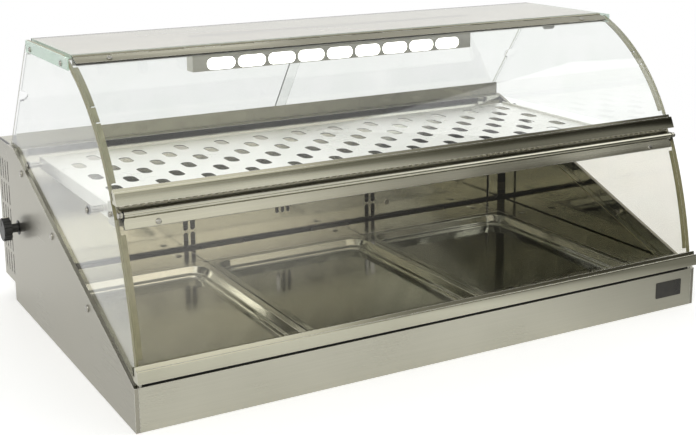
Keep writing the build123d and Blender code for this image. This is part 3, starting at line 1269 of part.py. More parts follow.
# Cross-flow fan: motor and end plates on the back wall, drum on the motor's shaft
fan_left = FAN_X - FAN_LENGTH / 2
fan_right = FAN_X + FAN_LENGTH / 2
with BuildPart() as fan_motor:
    plate_right = fan_right + 6
    plate_left = fan_left - 6 - PLATE
    for x in (plate_left, plate_right):
        block(
            x, x + PLATE, wall_rear, FAN_D + MOTOR_PLATE_REACH,
            FAN_Z - MOTOR_PLATE_HALF, FAN_Z + MOTOR_PLATE_HALF,
        )
        rod_along_x(x, x + PLATE, FAN_D, FAN_Z, SHAFT_RADIUS + RUNNING, Mode.SUBTRACT)
    rod_along_x(plate_right + PLATE, plate_right + PLATE + MOTOR_LENGTH, FAN_D, FAN_Z, MOTOR_RADIUS)
    motor_end = fan_motor.edges().filter_by(GeomType.CIRCLE).group_by(Axis.X)[-1]
    fillet(motor_end, 5)
save(fan_motor, "fan_motor")

with BuildPart() as fan_drum:
    for x in (fan_left, FAN_X - PLATE / 2, fan_right - PLATE):
        rod_along_x(x, x + PLATE, FAN_D, FAN_Z, FAN_RADIUS)
    with BuildSketch(upright(fan_left)):
        with Locations((back(FAN_D), FAN_Z)):
            with PolarLocations(FAN_RADIUS - FAN_BLADE / 2 - 0.5, FAN_BLADES):
                Rectangle(FAN_BLADE, 1.2, rotation=25)
    extrude(amount=FAN_LENGTH)
    rod_along_x(plate_left - 4, plate_right + PLATE - LIGHT_GAP, FAN_D, FAN_Z, SHAFT_RADIUS)
save(fan_drum, "fan_drum")

# Heating element: a hairpin rod with clips on the back wall
with BuildPart() as heater:
    heater_half = HEATER_LENGTH / 2
    top_z = HEATER_LOW_Z + HEATER_RISE
    rod_along_x(-heater_half, heater_half, HEATER_D, HEATER_LOW_Z, HEATER_RADIUS)
    rod_along_x(-heater_half, heater_half, HEATER_D, top_z, HEATER_RADIUS)
    with BuildSketch(upright(heater_half)):
        with Locations((back(HEATER_D), HEATER_LOW_Z)):
            Circle(HEATER_RADIUS)
    bend = Axis((heater_half, back(HEATER_D), HEATER_LOW_Z + HEATER_RISE / 2), (0, -1, 0))
    revolve(axis=bend, revolution_arc=180)
    for x in (-heater_half + 60, 0, heater_half - 60):
        block(x, x + PLATE, wall_rear, HEATER_D + 8, HEATER_LOW_Z - 10, top_z + 10)
save(heater, "heater")

# Terminal block on the housing floor
with BuildPart() as terminal_block:
    floor_z = HOUSING_BOTTOM + SHEET
    terminal_top = floor_z + TERMINAL_HEIGHT
    terminal_d = (TERMINAL_D - TERMINAL_WIDTH / 2, TERMINAL_D + TERMINAL_WIDTH / 2)
    terminal_x = (TERMINAL_X - TERMINAL_LENGTH / 2, TERMINAL_X + TERMINAL_LENGTH / 2)
    block(*terminal_x, *terminal_d, floor_z, terminal_top)
    with BuildSketch(level(terminal_top)):
        with Locations((TERMINAL_X, back(TERMINAL_D))):
            with GridLocations(12, 12, 4, 2):
                Circle(2.5)
    extrude(amount=-6, mode=Mode.SUBTRACT)
save(terminal_block, "terminal_block")

# Mains inlet and lamp switch in the rear cover
with BuildPart() as mains_inlet:
    block(
        INLET_X - INLET_WIDTH / 2, INLET_X + INLET_WIDTH / 2, HOUSING_DEPTH - INLET_DEPTH, HOUSING_DEPTH,
        INLET_Z - INLET_HEIGHT / 2, INLET_Z + INLET_HEIGHT / 2,
    )
    block(
        INLET_X - INLET_WIDTH / 2 - INLET_FLANGE, INLET_X + INLET_WIDTH / 2 + INLET_FLANGE,
        HOUSING_DEPTH, HOUSING_DEPTH + 2,
        INLET_Z - INLET_HEIGHT / 2 - INLET_FLANGE, INLET_Z + INLET_HEIGHT / 2 + INLET_FLANGE,
    )
    block(
        INLET_X - INLET_WIDTH / 2 + 8, INLET_X + INLET_WIDTH / 2 - 8,
        HOUSING_DEPTH - INLET_DEPTH + 6, HOUSING_DEPTH + 2,
        INLET_Z - INLET_HEIGHT / 2 + 4, INLET_Z + INLET_HEIGHT / 2 - 4, Mode.SUBTRACT,
    )
    for x in (-9, 0, 9):
        block(
            INLET_X + x - 1, INLET_X + x + 1, HOUSING_DEPTH - INLET_DEPTH + 5, HOUSING_DEPTH - 4,
            INLET_Z - 3, INLET_Z + 3,
        )
save(mains_inlet, "mains_inlet")

with BuildPart() as switch_body:
    outer_w = SWITCH_WIDTH / 2
    outer_h = SWITCH_HEIGHT / 2
    block(
        SWITCH_X - outer_w, SWITCH_X + outer_w, HOUSING_DEPTH - SWITCH_DEPTH, HOUSING_DEPTH,
        SWITCH_Z - outer_h, SWITCH_Z + outer_h,
    )
    block(
        SWITCH_X - outer_w - SWITCH_BEZEL, SWITCH_X + outer_w + SWITCH_BEZEL,
        HOUSING_DEPTH, HOUSING_DEPTH + 2,
        SWITCH_Z - outer_h - SWITCH_BEZEL, SWITCH_Z + outer_h + SWITCH_BEZEL,
    )
    block(
        SWITCH_X - outer_w + 2, SWITCH_X + outer_w - 2, HOUSING_DEPTH - SWITCH_DEPTH + 2, HOUSING_DEPTH + 2,
        SWITCH_Z - outer_h + 2, SWITCH_Z + outer_h - 2, Mode.SUBTRACT,
    )
    pin_d = HOUSING_DEPTH - ROCKER_PIN_IN
    rod_along_x(
        SWITCH_X - outer_w + 1, SWITCH_X + outer_w - 1, pin_d, SWITCH_Z,
        ROCKER_PIN_RADIUS + RUNNING, Mode.SUBTRACT,
    )
save(switch_body, "switch_body")


def tipped(out, up):
    """Point of the rocker, tipped about its pin to its rest position."""
    tilt = radians(ROCKER_TILT)
    return pin_d + out * cos(tilt) + up * sin(tilt), SWITCH_Z + up * cos(tilt) - out * sin(tilt)


with BuildPart() as rocker:
    rocker_w = outer_w - 2 - ROCKER_GAP
    with BuildSketch(upright(SWITCH_X - rocker_w)):
        polygon(
            tipped(-3, -3.5),
            tipped(ROCKER_REACH, -ROCKER_HALF),
            tipped(ROCKER_REACH - 0.6, 0),
            tipped(ROCKER_REACH, ROCKER_HALF),
            tipped(-3, 3.5),
        )
    extrude(amount=2 * rocker_w)
    rod_along_x(SWITCH_X - outer_w + 1.2, SWITCH_X + outer_w - 1.2, pin_d, SWITCH_Z, ROCKER_PIN_RADIUS)
save(rocker, "rocker")

# Blank plate on the front panel
with BuildPart() as blank_plate:
    with BuildSketch(facing(0)):
        with Locations((HALF - BLANK_PLATE_IN, BLANK_PLATE_Z)):
            RectangleRounded(BLANK_PLATE_LENGTH, BLANK_PLATE_HEIGHT, 2)
    extrude(amount=0.8)
save(blank_plate, "blank_plate")

# Screws that hold the side glasses to the side panels, each with a spacer and an inner nut
with BuildPart() as glass_screws:
    for depth, z in GLASS_SCREWS:
        head_on_side(BIG_DOME, HALF, depth, z)
        rod_along_x(GLASS_IN - 4, HALF, depth, z, BIG_SCREW_RADIUS)
        rod_along_x(GLASS_OUT, INNER, depth, z, BIG_HEAD)
        rod_along_x(GLASS_IN - 4, GLASS_IN, depth, z, BIG_HEAD)
    mirror(about=Plane.YZ)
save(glass_screws, "glass_screws")

# Small screws of the bands, the beam brackets and the rear cover
with BuildPart() as small_screws:
    for depth in BAND_SCREW_D:
        band_out = GLASS_OUT + SIDE_BAND
        head_on_side(SMALL_DOME, band_out, depth, band_z)
        rod_along_x(GLASS_IN - RAIL_SHEET - 1, band_out, depth, band_z, SCREW_RADIUS)
    head_on_side(SMALL_DOME, GLASS_OUT, beam_screw_d, beam_screw_z)
    rod_along_x(beam_half - 1, GLASS_OUT, beam_screw_d, beam_screw_z, SCREW_RADIUS)
    mirror(about=Plane.YZ)
    for x, z in cover_screws:
        with Locations(Location((x, back(HOUSING_DEPTH), z), (-90, 0, 0))):
            add(SMALL_DOME)
        with BuildSketch(facing(HOUSING_DEPTH)):
            with Locations((x, z)):
                Circle(SCREW_RADIUS)
        extrude(amount=6)
save(small_screws, "small_screws")
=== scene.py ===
"""Looks of a heated display case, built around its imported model.

The finishes come first, then the helpers that shape new pieces, then one class for each group of
pieces, and last the camera and the studio. Lengths are in metres unless a name ends in _mm.
"""

import logging
import math
from collections.abc import Sequence
from dataclasses import dataclass, field, replace
from enum import Enum

import bmesh
import bpy
from mathutils import Matrix, Vector


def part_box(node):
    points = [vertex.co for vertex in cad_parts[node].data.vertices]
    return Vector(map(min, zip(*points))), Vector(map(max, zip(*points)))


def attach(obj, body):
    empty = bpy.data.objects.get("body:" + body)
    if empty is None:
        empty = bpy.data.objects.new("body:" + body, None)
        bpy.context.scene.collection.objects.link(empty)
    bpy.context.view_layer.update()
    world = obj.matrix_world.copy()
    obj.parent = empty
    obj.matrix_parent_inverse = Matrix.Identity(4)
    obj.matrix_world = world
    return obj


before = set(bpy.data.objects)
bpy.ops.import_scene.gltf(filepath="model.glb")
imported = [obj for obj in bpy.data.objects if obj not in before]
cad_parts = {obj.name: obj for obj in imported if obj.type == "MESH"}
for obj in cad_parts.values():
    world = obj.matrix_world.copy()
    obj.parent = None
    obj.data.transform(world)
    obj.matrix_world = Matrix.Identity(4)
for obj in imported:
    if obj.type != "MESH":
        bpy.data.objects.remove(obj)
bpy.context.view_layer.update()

log = logging.getLogger("display_case")

MM = 0.001
PLAY = 0.05 * MM  # between a new piece and the face that it lies on
NOISE_LOW, NOISE_HIGH = 0.3, 0.7  # nearly all of a noise lies between these
STEEP = 0.5  # part of a normal that tells one side of a sheet from another


def linear(hex_colour: str, alpha: float = 1.0) -> tuple[float, float, float, float]:
    """Turn an sRGB hex colour into the linear values that a shader socket takes.

    Args:
        hex_colour: Colour as written on screen, such as "A5A091".
        alpha: Fourth value of the colour.

    Returns:
        Linear red, green, blue and alpha.
    """
    parts = [int(hex_colour[i : i + 2], 16) / 255 for i in (0, 2, 4)]
    low, high = 12.92, 1.055
    red, green, blue = (
        p / low if p <= 0.04045 else ((p + 0.055) / high) ** 2.4 for p in parts
    )
    return red, green, blue, alpha


def add_node(
    tree: bpy.types.NodeTree,
    kind: str,
    settings: dict[str, object] | None = None,
    inputs: dict[str | int, object] | None = None,
    stops: Sequence[tuple[float, str]] = (),
) -> bpy.types.Node:
    """Add a node with its settings, socket values and links.

    Args:
        tree: Node tree that gets the node.
        kind: Blender's name for the node type, without "ShaderNode".
        settings: Attributes of the node.
        inputs: Value or linked output socket for each input, by name or number.
        stops: Position and hex colour of each stop, where the node is a colour ramp.

    Returns:
        The new node.
    """
    node = tree.nodes.new("ShaderNode" + kind)
    for name, value in (settings or {}).items():
        setattr(node, name, value)
    for key, value in (inputs or {}).items():
        socket = node.inputs[key]
        if isinstance(value, bpy.types.NodeSocket):
            tree.links.new(value, socket)
        else:
            socket.default_value = value
    if stops:
        elements = node.color_ramp.elements
        while len(elements) < len(stops):
            elements.new(0.5)
        for element, (position, colour) in zip(elements, stops):
            element.position = position
            element.color = linear(colour)
    return node


class Grain(Enum):
    """Direction in which a sheet was brushed, rolled or extruded."""

    X = (1.0, 0.0, 0.0)
    Y = (0.0, 1.0, 0.0)


class Cut(Enum):
    """Axis of a pane, and the test that tells its cut edges from its faces."""

    BENT = (0, "GREATER_THAN")
    SIDE = (0, "LESS_THAN")
    LEVEL = (2, "LESS_THAN")


def new_tree(name: str) -> tuple[bpy.types.Material, bpy.types.NodeTree]:
    """Start an empty node material.

    Args:
        name: Name of the material.

    Returns:
        The material and its node tree.
    """
    material = bpy.data.materials.new(name)
    material.use_nodes = True
    material.node_tree.nodes.clear()
    return material, material.node_tree


def per_metre(size_mm: float) -> float:
    """Scale of a noise whose pattern has a real size in millimetres."""
    return 1000.0 / size_mm


def streak_scale(grain: Grain, spacing_mm: float, length_mm: float) -> tuple[float, float, float]:
    """Mapping scale that draws lines a real distance apart along one axis.

    Args:
        grain: Direction of the lines.
        spacing_mm: Distance from line to line.
        length_mm: Length of one line.

    Returns:
        Scale for the three axes, in cycles per metre.
    """
    across, along = per_metre(spacing_mm), per_metre(length_mm)
    return tuple(along if part else across for part in grain.value)


@dataclass(frozen=True)
class Hollow:
    """Lean of a handle rail's front face, which is drawn with a shallow bow under its lip.

    Attributes:
        foot_mm: Height of the foot of the face.
        step_mm: Height of the step under the lip.
        low: Upward part of the normal at the foot.
        high: Upward part of the normal under the step.
        lip: Upward part of the normal on the lip.
    """

    foot_mm: float
    step_mm: float
    low: float
    high: float
    lip: float


@dataclass(frozen=True)
class Metal:
    """Bare metal whose grain, wipe marks and waviness all have a real size.

    Attributes:
        name: What the metal is and how its surface was made.
        dark: Colour of the darker lines and patches.
        light: Colour of the lighter ones.
        grain: Direction of the lines.
        spacing_mm: Distance from line to line.
        length_mm: Length of one line.
        roughness: Middle of its roughness.
        swing: How far the roughness goes up and down from there.
        bump: Share of the grain's depth that the relief shows.
        cloud_mm: Size of the wipe marks.
        wave_mm: Size of the slow waves that bend what the sheet mirrors.
        wave_depth_mm: Depth of these waves.
        edge_mm: Radius of the rounding that catches the light along an edge.
        edge: Colour painted on that rounding: a painted highlight, paler than the face on most
            finishes.
        edge_roughness: Roughness of that rounding.
        coat: Strength of a sharp reflection over the soft one.
        coat_roughness: Roughness of that sharp reflection.
        inner: Colour of the side that faces into the case, where it differs; on the right panel
            this is a painted reflection, darker than on the left.
        inner_side: Sign of X in the normal of that side.
        inner_roughness: Roughness of that side.
        punched: Colour of the walls of punched holes, where it differs: painted shade, darker than
            the sheet.
        punched_axis: Axis that the holes go through.
        punched_span: Where the holes start and end in Y, in millimetres.
        hollow: Bow of the front face, on a handle rail.
        grain_depth_mm: Depth of the lines at a bump of 1.
        highlight_turn: Dot product of the face and its rounded edge where the painted edge
            highlight starts and is full.
        faced_front: Y of the normal below which a face counts as a front face.
    """

    name: str
    dark: str
    light: str
    grain: Grain = Grain.X
    spacing_mm: float = 1.6
    length_mm: float = 160.0
    roughness: float = 0.3
    swing: float = 0.05
    bump: float = 0.05
    cloud_mm: float = 180.0
    wave_mm: float = 90.0
    wave_depth_mm: float = 0.05
    edge_mm: float = 0.5
    edge: str = "F2F0E8"
    edge_roughness: float = 0.42
    coat: float = 0.0
    coat_roughness: float = 0.1
    inner: str = ""
    inner_side: float = 0.0
    inner_roughness: float = 0.06
    punched: str = ""
    punched_axis: int = 2
    punched_span: tuple[float, float] = (-400.0, 400.0)
    hollow: Hollow | None = None
    grain_depth_mm: float = 0.4
    highlight_turn: tuple[float, float] = (0.995, 0.9)
    faced_front: float = -0.8

    def pattern(
        self, tree: bpy.types.NodeTree, place: bpy.types.NodeSocket
    ) -> tuple[bpy.types.NodeSocket, bpy.types.NodeSocket]:
        """Draw the fine grain, and the grain under slow wipe marks.

        Args:
            tree: Node tree that gets the nodes.
            place: Object coordinates.

        Returns:
            The grain alone, and the grain blended with the wipe marks.
        """
        scale = streak_scale(self.grain, self.spacing_mm, self.length_mm)
        lined = add_node(tree, "Mapping", inputs={"Vector": place, "Scale": scale})
        streaks = add_node(
            tree,
            "TexNoise",
            inputs={"Vector": lined.outputs[0], "Scale": 1.0, "Detail": 4.0, "Roughness": 0.65},
        )
        clouds = add_node(
            tree,
            "TexNoise",
            inputs={
                "Vector": place,
                "Scale": per_metre(self.cloud_mm),
                "Detail": 3.0,
                "Roughness": 0.5,
            },
        )
        blend = add_node(
            tree,
            "Mix",
            {"data_type": "FLOAT"},
            {"Factor": 0.6, "A": streaks.outputs["Fac"], "B": clouds.outputs["Fac"]},
        )
        return streaks.outputs["Fac"], blend.outputs[0]

    def painted_edge_highlight(
        self, tree: bpy.types.NodeTree, edges: bpy.types.NodeSocket
    ) -> bpy.types.NodeSocket:
        """Find the rounded edges that get a painted highlight.

        Args:
            tree: Node tree that gets the nodes.
            edges: Normal with rounded edges.

        Returns:
            One on an edge and zero on a face.
        """
        flat = add_node(tree, "NewGeometry").outputs["Normal"]
        turn = add_node(tree, "VectorMath", {"operation": "DOT_PRODUCT"}, {0: edges, 1: flat})
        start, full = self.highlight_turn
        highlight = add_node(
            tree,
            "MapRange",
            inputs={"Value": turn.outputs["Value"], "From Min": start, "From Max": full},
        )
        return highlight.outputs[0]

    def relief(
        self,
        tree: bpy.types.NodeTree,
        place: bpy.types.NodeSocket,
        streaks: bpy.types.NodeSocket,
        edges: bpy.types.NodeSocket,
    ) -> bpy.types.NodeSocket:
        """Add the sheet's slow waves and its grain to the rounded edges.

        Args:
            tree: Node tree that gets the nodes.
            place: Object coordinates.
            streaks: Fine grain.
            edges: Normal with rounded edges.

        Returns:
            The surface's normal.
        """
        waves = add_node(
            tree,
            "TexNoise",
            inputs={"Vector": place, "Scale": per_metre(self.wave_mm), "Detail": 1.0},
        )
        slow = add_node(
            tree,
            "Bump",
            inputs={
                "Strength": 1.0,
                "Distance": self.wave_depth_mm * MM,
                "Height": waves.outputs["Fac"],
                "Normal": edges,
            },
        )
        fine = add_node(
            tree,
            "Bump",
            inputs={
                "Strength": self.bump,
                "Distance": self.grain_depth_mm * MM,
                "Height": streaks,
                "Normal": slow.outputs[0],
            },
        )
        return self.hollowed(tree, place, fine.outputs[0]) if self.hollow else fine.outputs[0]

    def hollowed(
        self, tree: bpy.types.NodeTree, place: bpy.types.NodeSocket, normal: bpy.types.NodeSocket
    ) -> bpy.types.NodeSocket:
        """Bend the normal of a rail's front face as its bow does.

        Args:
            tree: Node tree that gets the nodes.
            place: Object coordinates.
            normal: Normal of the flat faces.

        Returns:
            Normal whose lean changes from the foot of the face to the step, and again at the lip.
        """
        bow = self.hollow
        height = add_node(tree, "SeparateXYZ", inputs={0: place}).outputs[2]
        face = add_node(
            tree,
            "MapRange",
            inputs={
                "Value": height,
                "From Min": bow.foot_mm * MM,
                "From Max": bow.step_mm * MM,
                "To Min": bow.low,
                "To Max": bow.high,
            },
        )
        above = add_node(
            tree, "Math", {"operation": "GREATER_THAN"}, {0: height, 1: bow.step_mm * MM}
        )
        lean = add_node(
            tree,
            "Mix",
            {"data_type": "FLOAT"},
            {"Factor": above.outputs[0], "A": face.outputs[0], "B": bow.lip},
        )
        parts = add_node(tree, "SeparateXYZ", inputs={0: normal})
        bent = add_node(
            tree,
            "CombineXYZ",
            inputs={0: parts.outputs[0], 1: parts.outputs[1], 2: lean.outputs[0]},
        )
        flat = add_node(tree, "NewGeometry").outputs["True Normal"]
        ahead = add_node(tree, "SeparateXYZ", inputs={0: flat}).outputs[1]
        front = add_node(
            tree, "Math", {"operation": "LESS_THAN"}, {0: ahead, 1: self.faced_front}
        )
        mixed = add_node(
            tree,
            "Mix",
            {"data_type": "VECTOR"},
            {"Factor": front.outputs[0], "A": normal, "B": bent.outputs[0]},
        )
        whole = add_node(
            tree, "VectorMath", {"operation": "NORMALIZE"}, {0: mixed.outputs["Result"]}
        )
        return whole.outputs[0]

    def turned_in(self, tree: bpy.types.NodeTree) -> bpy.types.NodeSocket:
        """Tell the side of a panel that faces into the case.

        Args:
            tree: Node tree that gets the nodes.

        Returns:
            One on the inner side and zero elsewhere.
        """
        normal = add_node(tree, "NewGeometry").outputs["Normal"]
        sideways = add_node(tree, "SeparateXYZ", inputs={0: normal}).outputs[0]
        inward = add_node(
            tree, "Math", {"operation": "MULTIPLY"}, {0: sideways, 1: self.inner_side}
        )
        return add_node(
            tree, "Math", {"operation": "GREATER_THAN"}, {0: inward.outputs[0], 1: STEEP}
        ).outputs[0]

    def hole_walls(
        self, tree: bpy.types.NodeTree, place: bpy.types.NodeSocket
    ) -> bpy.types.NodeSocket:
        """Tell the walls of punched holes from the sheet's faces.

        Args:
            tree: Node tree that gets the nodes.
            place: Object coordinates.

        Returns:
            One on the walls inside the punched span and zero elsewhere.
        """
        normal = add_node(tree, "NewGeometry").outputs["True Normal"]
        part = add_node(tree, "SeparateXYZ", inputs={0: normal}).outputs[self.punched_axis]
        steep = add_node(tree, "Math", {"operation": "ABSOLUTE"}, {0: part})
        wall = add_node(tree, "Math", {"operation": "LESS_THAN"}, {0: steep.outputs[0], 1: STEEP})
        near, far = self.punched_span
        depth = add_node(tree, "SeparateXYZ", inputs={0: place}).outputs[1]
        inside = add_node(
            tree,
            "Math",
            {"operation": "COMPARE"},
            {0: depth, 1: (near + far) / 2 * MM, 2: (far - near) / 2 * MM},
        )
        return add_node(
            tree, "Math", {"operation": "MULTIPLY"}, {0: wall.outputs[0], 1: inside.outputs[0]}
        ).outputs[0]

    def parted(
        self,
        tree: bpy.types.NodeTree,
        place: bpy.types.NodeSocket,
        colour: bpy.types.NodeSocket,
        rough: bpy.types.NodeSocket,
    ) -> tuple[bpy.types.NodeSocket, bpy.types.NodeSocket]:
        """Give the inner side a colour and roughness of its own, and paint shade on the walls of
        holes, where the finish has them.

        Args:
            tree: Node tree that gets the nodes.
            place: Object coordinates.
            colour: Colour of the rest of the sheet.
            rough: Roughness of the rest of the sheet.

        Returns:
            Colour and roughness of the whole sheet.
        """
        # The inner side's own colour: the mill finish on the left panel, a painted reflection on
        # the right one.
        if self.inner:
            side = self.turned_in(tree)
            tint = add_node(
                tree,
                "Mix",
                {"data_type": "RGBA"},
                {"Factor": side, "A": colour, "B": linear(self.inner)},
            )
            colour = tint.outputs["Result"]
            gloss = add_node(
                tree,
                "Mix",
                {"data_type": "FLOAT"},
                {"Factor": side, "A": rough, "B": self.inner_roughness},
            )
            rough = gloss.outputs[0]
        # Painted shade on the walls of punched holes.
        if self.punched:
            tint = add_node(
                tree,
                "Mix",
                {"data_type": "RGBA"},
                {"Factor": self.hole_walls(tree, place), "A": colour, "B": linear(self.punched)},
            )
            colour = tint.outputs["Result"]
        return colour, rough

    def build(self) -> bpy.types.Material:
        """Make the material.

        Returns:
            Metal with a soft grain, wiped patches and bright rounded edges.
        """
        material, tree = new_tree(self.name)
        place = add_node(tree, "TexCoord").outputs["Object"]
        streaks, blend = self.pattern(tree, place)
        tones = [(NOISE_LOW, self.dark), (NOISE_HIGH, self.light)]
        colour = add_node(tree, "ValToRGB", inputs={"Fac": blend}, stops=tones).outputs[0]
        rough = add_node(
            tree,
            "MapRange",
            inputs={
                "Value": blend,
                "From Min": NOISE_LOW,
                "From Max": NOISE_HIGH,
                "To Min": self.roughness - self.swing,
                "To Max": self.roughness + self.swing,
            },
        ).outputs[0]
        colour, rough = self.parted(tree, place, colour, rough)
        # Painted highlight: rounded edges are painted the edge colour and made rougher.
        edges = add_node(tree, "Bevel", {"samples": 4}, {"Radius": self.edge_mm * MM}).outputs[0]
        highlight = self.painted_edge_highlight(tree, edges)
        bright = add_node(
            tree,
            "Mix",
            {"data_type": "RGBA"},
            {"Factor": highlight, "A": colour, "B": linear(self.edge)},
        )
        scattered = add_node(
            tree,
            "Mix",
            {"data_type": "FLOAT"},
            {"Factor": highlight, "A": rough, "B": self.edge_roughness},
        )
        shader = add_node(
            tree,
            "BsdfPrincipled",
            inputs={
                "Base Color": bright.outputs["Result"],
                "Metallic": 1.0,
                "Roughness": scattered.outputs[0],
                "Coat Weight": self.coat,
                "Coat Roughness": self.coat_roughness,
                "Normal": self.relief(tree, place, streaks, edges),
            },
        )
        add_node(tree, "OutputMaterial", inputs={"Surface": shader.outputs[0]})
        return material


@dataclass(frozen=True)
class Glass:
    """Glass or clear acrylic with its cut edges finished another way.

    Attributes:
        name: What the pane is and how it was made.
        cut: How its cut edges are told from its faces.
        body: Colour of the pane where it is clean.
        body_light: Colour under the smears of a wipe.
        edge: Colour of its cut edges.
        clear: Share of light that goes through a face.
        edge_clear: Share of light that goes through a cut edge.
        roughness: Roughness of its faces.
        edge_roughness: Roughness of its cut edges.
        sheen: Strength of its reflections.
        shadow: What the pane leaves of the light that falls through it.
        smears_per_m: Smears and draw lines in a metre.
        draw_depth_mm: Depth of the waves that drawing the glass leaves.
    """

    name: str
    cut: Cut
    body: str = "F8FAF8"
    body_light: str = "FBFCFB"
    edge: str = "A29D79"
    clear: float = 1.0
    edge_clear: float = 0.3
    roughness: float = 0.0
    edge_roughness: float = 0.3
    sheen: float = 0.12
    shadow: str = "F2F4F2"
    smears_per_m: float = 14.0
    draw_depth_mm: float = 0.02

    def build(self) -> bpy.types.Material:
        """Make the material.

        Returns:
            A pane that shadows and soft light pass straight through.
        """
        material, tree = new_tree(self.name)
        axis, test = self.cut.value
        normal = add_node(tree, "NewGeometry").outputs["Normal"]
        part = add_node(tree, "SeparateXYZ", inputs={0: normal}).outputs[axis]
        steep = add_node(tree, "Math", {"operation": "ABSOLUTE"}, {0: part})
        told = add_node(tree, "Math", {"operation": test}, {0: steep.outputs[0], 1: STEEP})
        cut = told.outputs[0]
        place = add_node(tree, "TexCoord").outputs["Object"]
        smears = add_node(
            tree, "TexNoise", inputs={"Vector": place, "Scale": self.smears_per_m, "Detail": 2.0}
        )
        tones = [(NOISE_LOW, self.body), (NOISE_HIGH, self.body_light)]
        body = add_node(
            tree, "ValToRGB", inputs={"Fac": smears.outputs["Fac"]}, stops=tones
        ).outputs[0]
        tint = add_node(
            tree, "Mix", {"data_type": "RGBA"}, {"Factor": cut, "A": body, "B": linear(self.edge)}
        )
        rough = add_node(
            tree,
            "MapRange",
            inputs={"Value": cut, "To Min": self.roughness, "To Max": self.edge_roughness},
        )
        through = add_node(
            tree, "MapRange", inputs={"Value": cut, "To Min": self.clear, "To Max": self.edge_clear}
        )
        draw = add_node(
            tree,
            "Bump",
            inputs={
                "Strength": 1.0,
                "Distance": self.draw_depth_mm * MM,
                "Height": smears.outputs["Fac"],
            },
        )
        pane = add_node(
            tree,
            "BsdfPrincipled",
            inputs={
                "Base Color": tint.outputs["Result"],
                "Roughness": rough.outputs[0],
                "IOR": 1.5,
                "Specular IOR Level": self.sheen,
                "Transmission Weight": through.outputs[0],
                "Normal": draw.outputs[0],
            },
        )
        path = add_node(tree, "LightPath")
        soft = add_node(
            tree,
            "Math",
            {"operation": "MAXIMUM"},
            {0: path.outputs["Is Shadow Ray"], 1: path.outputs["Is Diffuse Ray"]},
        )
        clear = add_node(tree, "BsdfTransparent", inputs={"Color": linear(self.shadow)})
        mixed = add_node(
            tree, "MixShader", inputs={0: soft.outputs[0], 1: pane.outputs[0], 2: clear.outputs[0]}
        )
        add_node(tree, "OutputMaterial", inputs={"Surface": mixed.outputs[0]})
        return material


@dataclass(frozen=True)
class Moulded:
    """Plastic, rubber, foam or baked paint with a fine pebbled skin.

    Attributes:
        name: What the skin is and how it was made.
        dark: Colour of its darker patches.
        light: Colour of its lighter patches.
        roughness: Middle of its roughness.
        pebble_mm: Distance from pebble to pebble.
        bump: Share of the pebbles' depth that the relief shows.
        swing: How far the roughness goes up and down.
        pebble_depth_mm: Depth of the pebbles at a bump of 1.
        clouds_per_m: Darker and lighter patches in a metre.
    """

    name: str
    dark: str
    light: str
    roughness: float = 0.45
    pebble_mm: float = 0.9
    bump: float = 0.1
    swing: float = 0.04
    pebble_depth_mm: float = 0.2
    clouds_per_m: float = 60.0

    def build(self) -> bpy.types.Material:
        """Make the material.

        Returns:
            A coloured skin with a soft sheen and slightly uneven relief.
        """
        material, tree = new_tree(self.name)
        place = add_node(tree, "TexCoord").outputs["Object"]
        pebbles = add_node(
            tree,
            "TexNoise",
            inputs={"Vector": place, "Scale": per_metre(self.pebble_mm), "Detail": 3.0},
        )
        clouds = add_node(
            tree, "TexNoise", inputs={"Vector": place, "Scale": self.clouds_per_m, "Detail": 2.0}
        ).outputs["Fac"]
        tones = [(NOISE_LOW, self.dark), (NOISE_HIGH, self.light)]
        colour = add_node(tree, "ValToRGB", inputs={"Fac": clouds}, stops=tones)
        rough = add_node(
            tree,
            "MapRange",
            inputs={
                "Value": clouds,
                "From Min": NOISE_LOW,
                "From Max": NOISE_HIGH,
                "To Min": self.roughness - self.swing,
                "To Max": self.roughness + self.swing,
            },
        )
        relief = add_node(
            tree,
            "Bump",
            inputs={
                "Strength": self.bump,
                "Distance": self.pebble_depth_mm * MM,
                "Height": pebbles.outputs["Fac"],
            },
        )
        shader = add_node(
            tree,
            "BsdfPrincipled",
            inputs={
                "Base Color": colour.outputs[0],
                "Roughness": rough.outputs[0],
                "IOR": 1.5,
                "Normal": relief.outputs[0],
            },
        )
        add_node(tree, "OutputMaterial", inputs={"Surface": shader.outputs[0]})
        return material


@dataclass(frozen=True)
class LitOpal:
    """Opal plastic or fluorescent glass that glows.

    Attributes:
        name: What the surface is.
        colour: Colour of its light.
        strength: Strength of its light.
        clouds_per_m: Slightly whiter patches in a metre.
    """

    name: str
    colour: str
    strength: float
    clouds_per_m: float = 20.0

    def build(self) -> bpy.types.Material:
        """Make the material.

        Returns:
            A white surface that gives its own even light.
        """
        material, tree = new_tree(self.name)
        place = add_node(tree, "TexCoord").outputs["Object"]
        clouds = add_node(
            tree, "TexNoise", inputs={"Vector": place, "Scale": self.clouds_per_m, "Detail": 1.0}
        )
        tones = [(0.2, self.colour), (0.8, "FFFFFF")]
        colour = add_node(tree, "ValToRGB", inputs={"Fac": clouds.outputs["Fac"]}, stops=tones)
        shader = add_node(
            tree,
            "BsdfPrincipled",
            inputs={
                "Base Color": colour.outputs[0],
                "Roughness": 0.35,
                "Emission Color": linear(self.colour),
                "Emission Strength": self.strength,
            },
        )
        add_node(tree, "OutputMaterial", inputs={"Surface": shader.outputs[0]})
        return material


# Stainless sheet ground along the case's depth, for the side panels. The inner side keeps the
# mill's mirror finish, so that it shows the covers and the back wall darkly. The walls of the vent
# slots are painted near black: painted shade for the dark housing behind them.
SIDE_SHEET = Metal(
    "ground stainless left side",
    "8F8C80",
    "9D9A8E",
    Grain.Y,
    1.4,
    300.0,
    bump=0.02,
    edge_mm=0.9,
    inner="BAB9AE",
    inner_side=1.0,
    punched="1C1B17",
    punched_axis=0,
    punched_span=(311.0, 378.0),
)

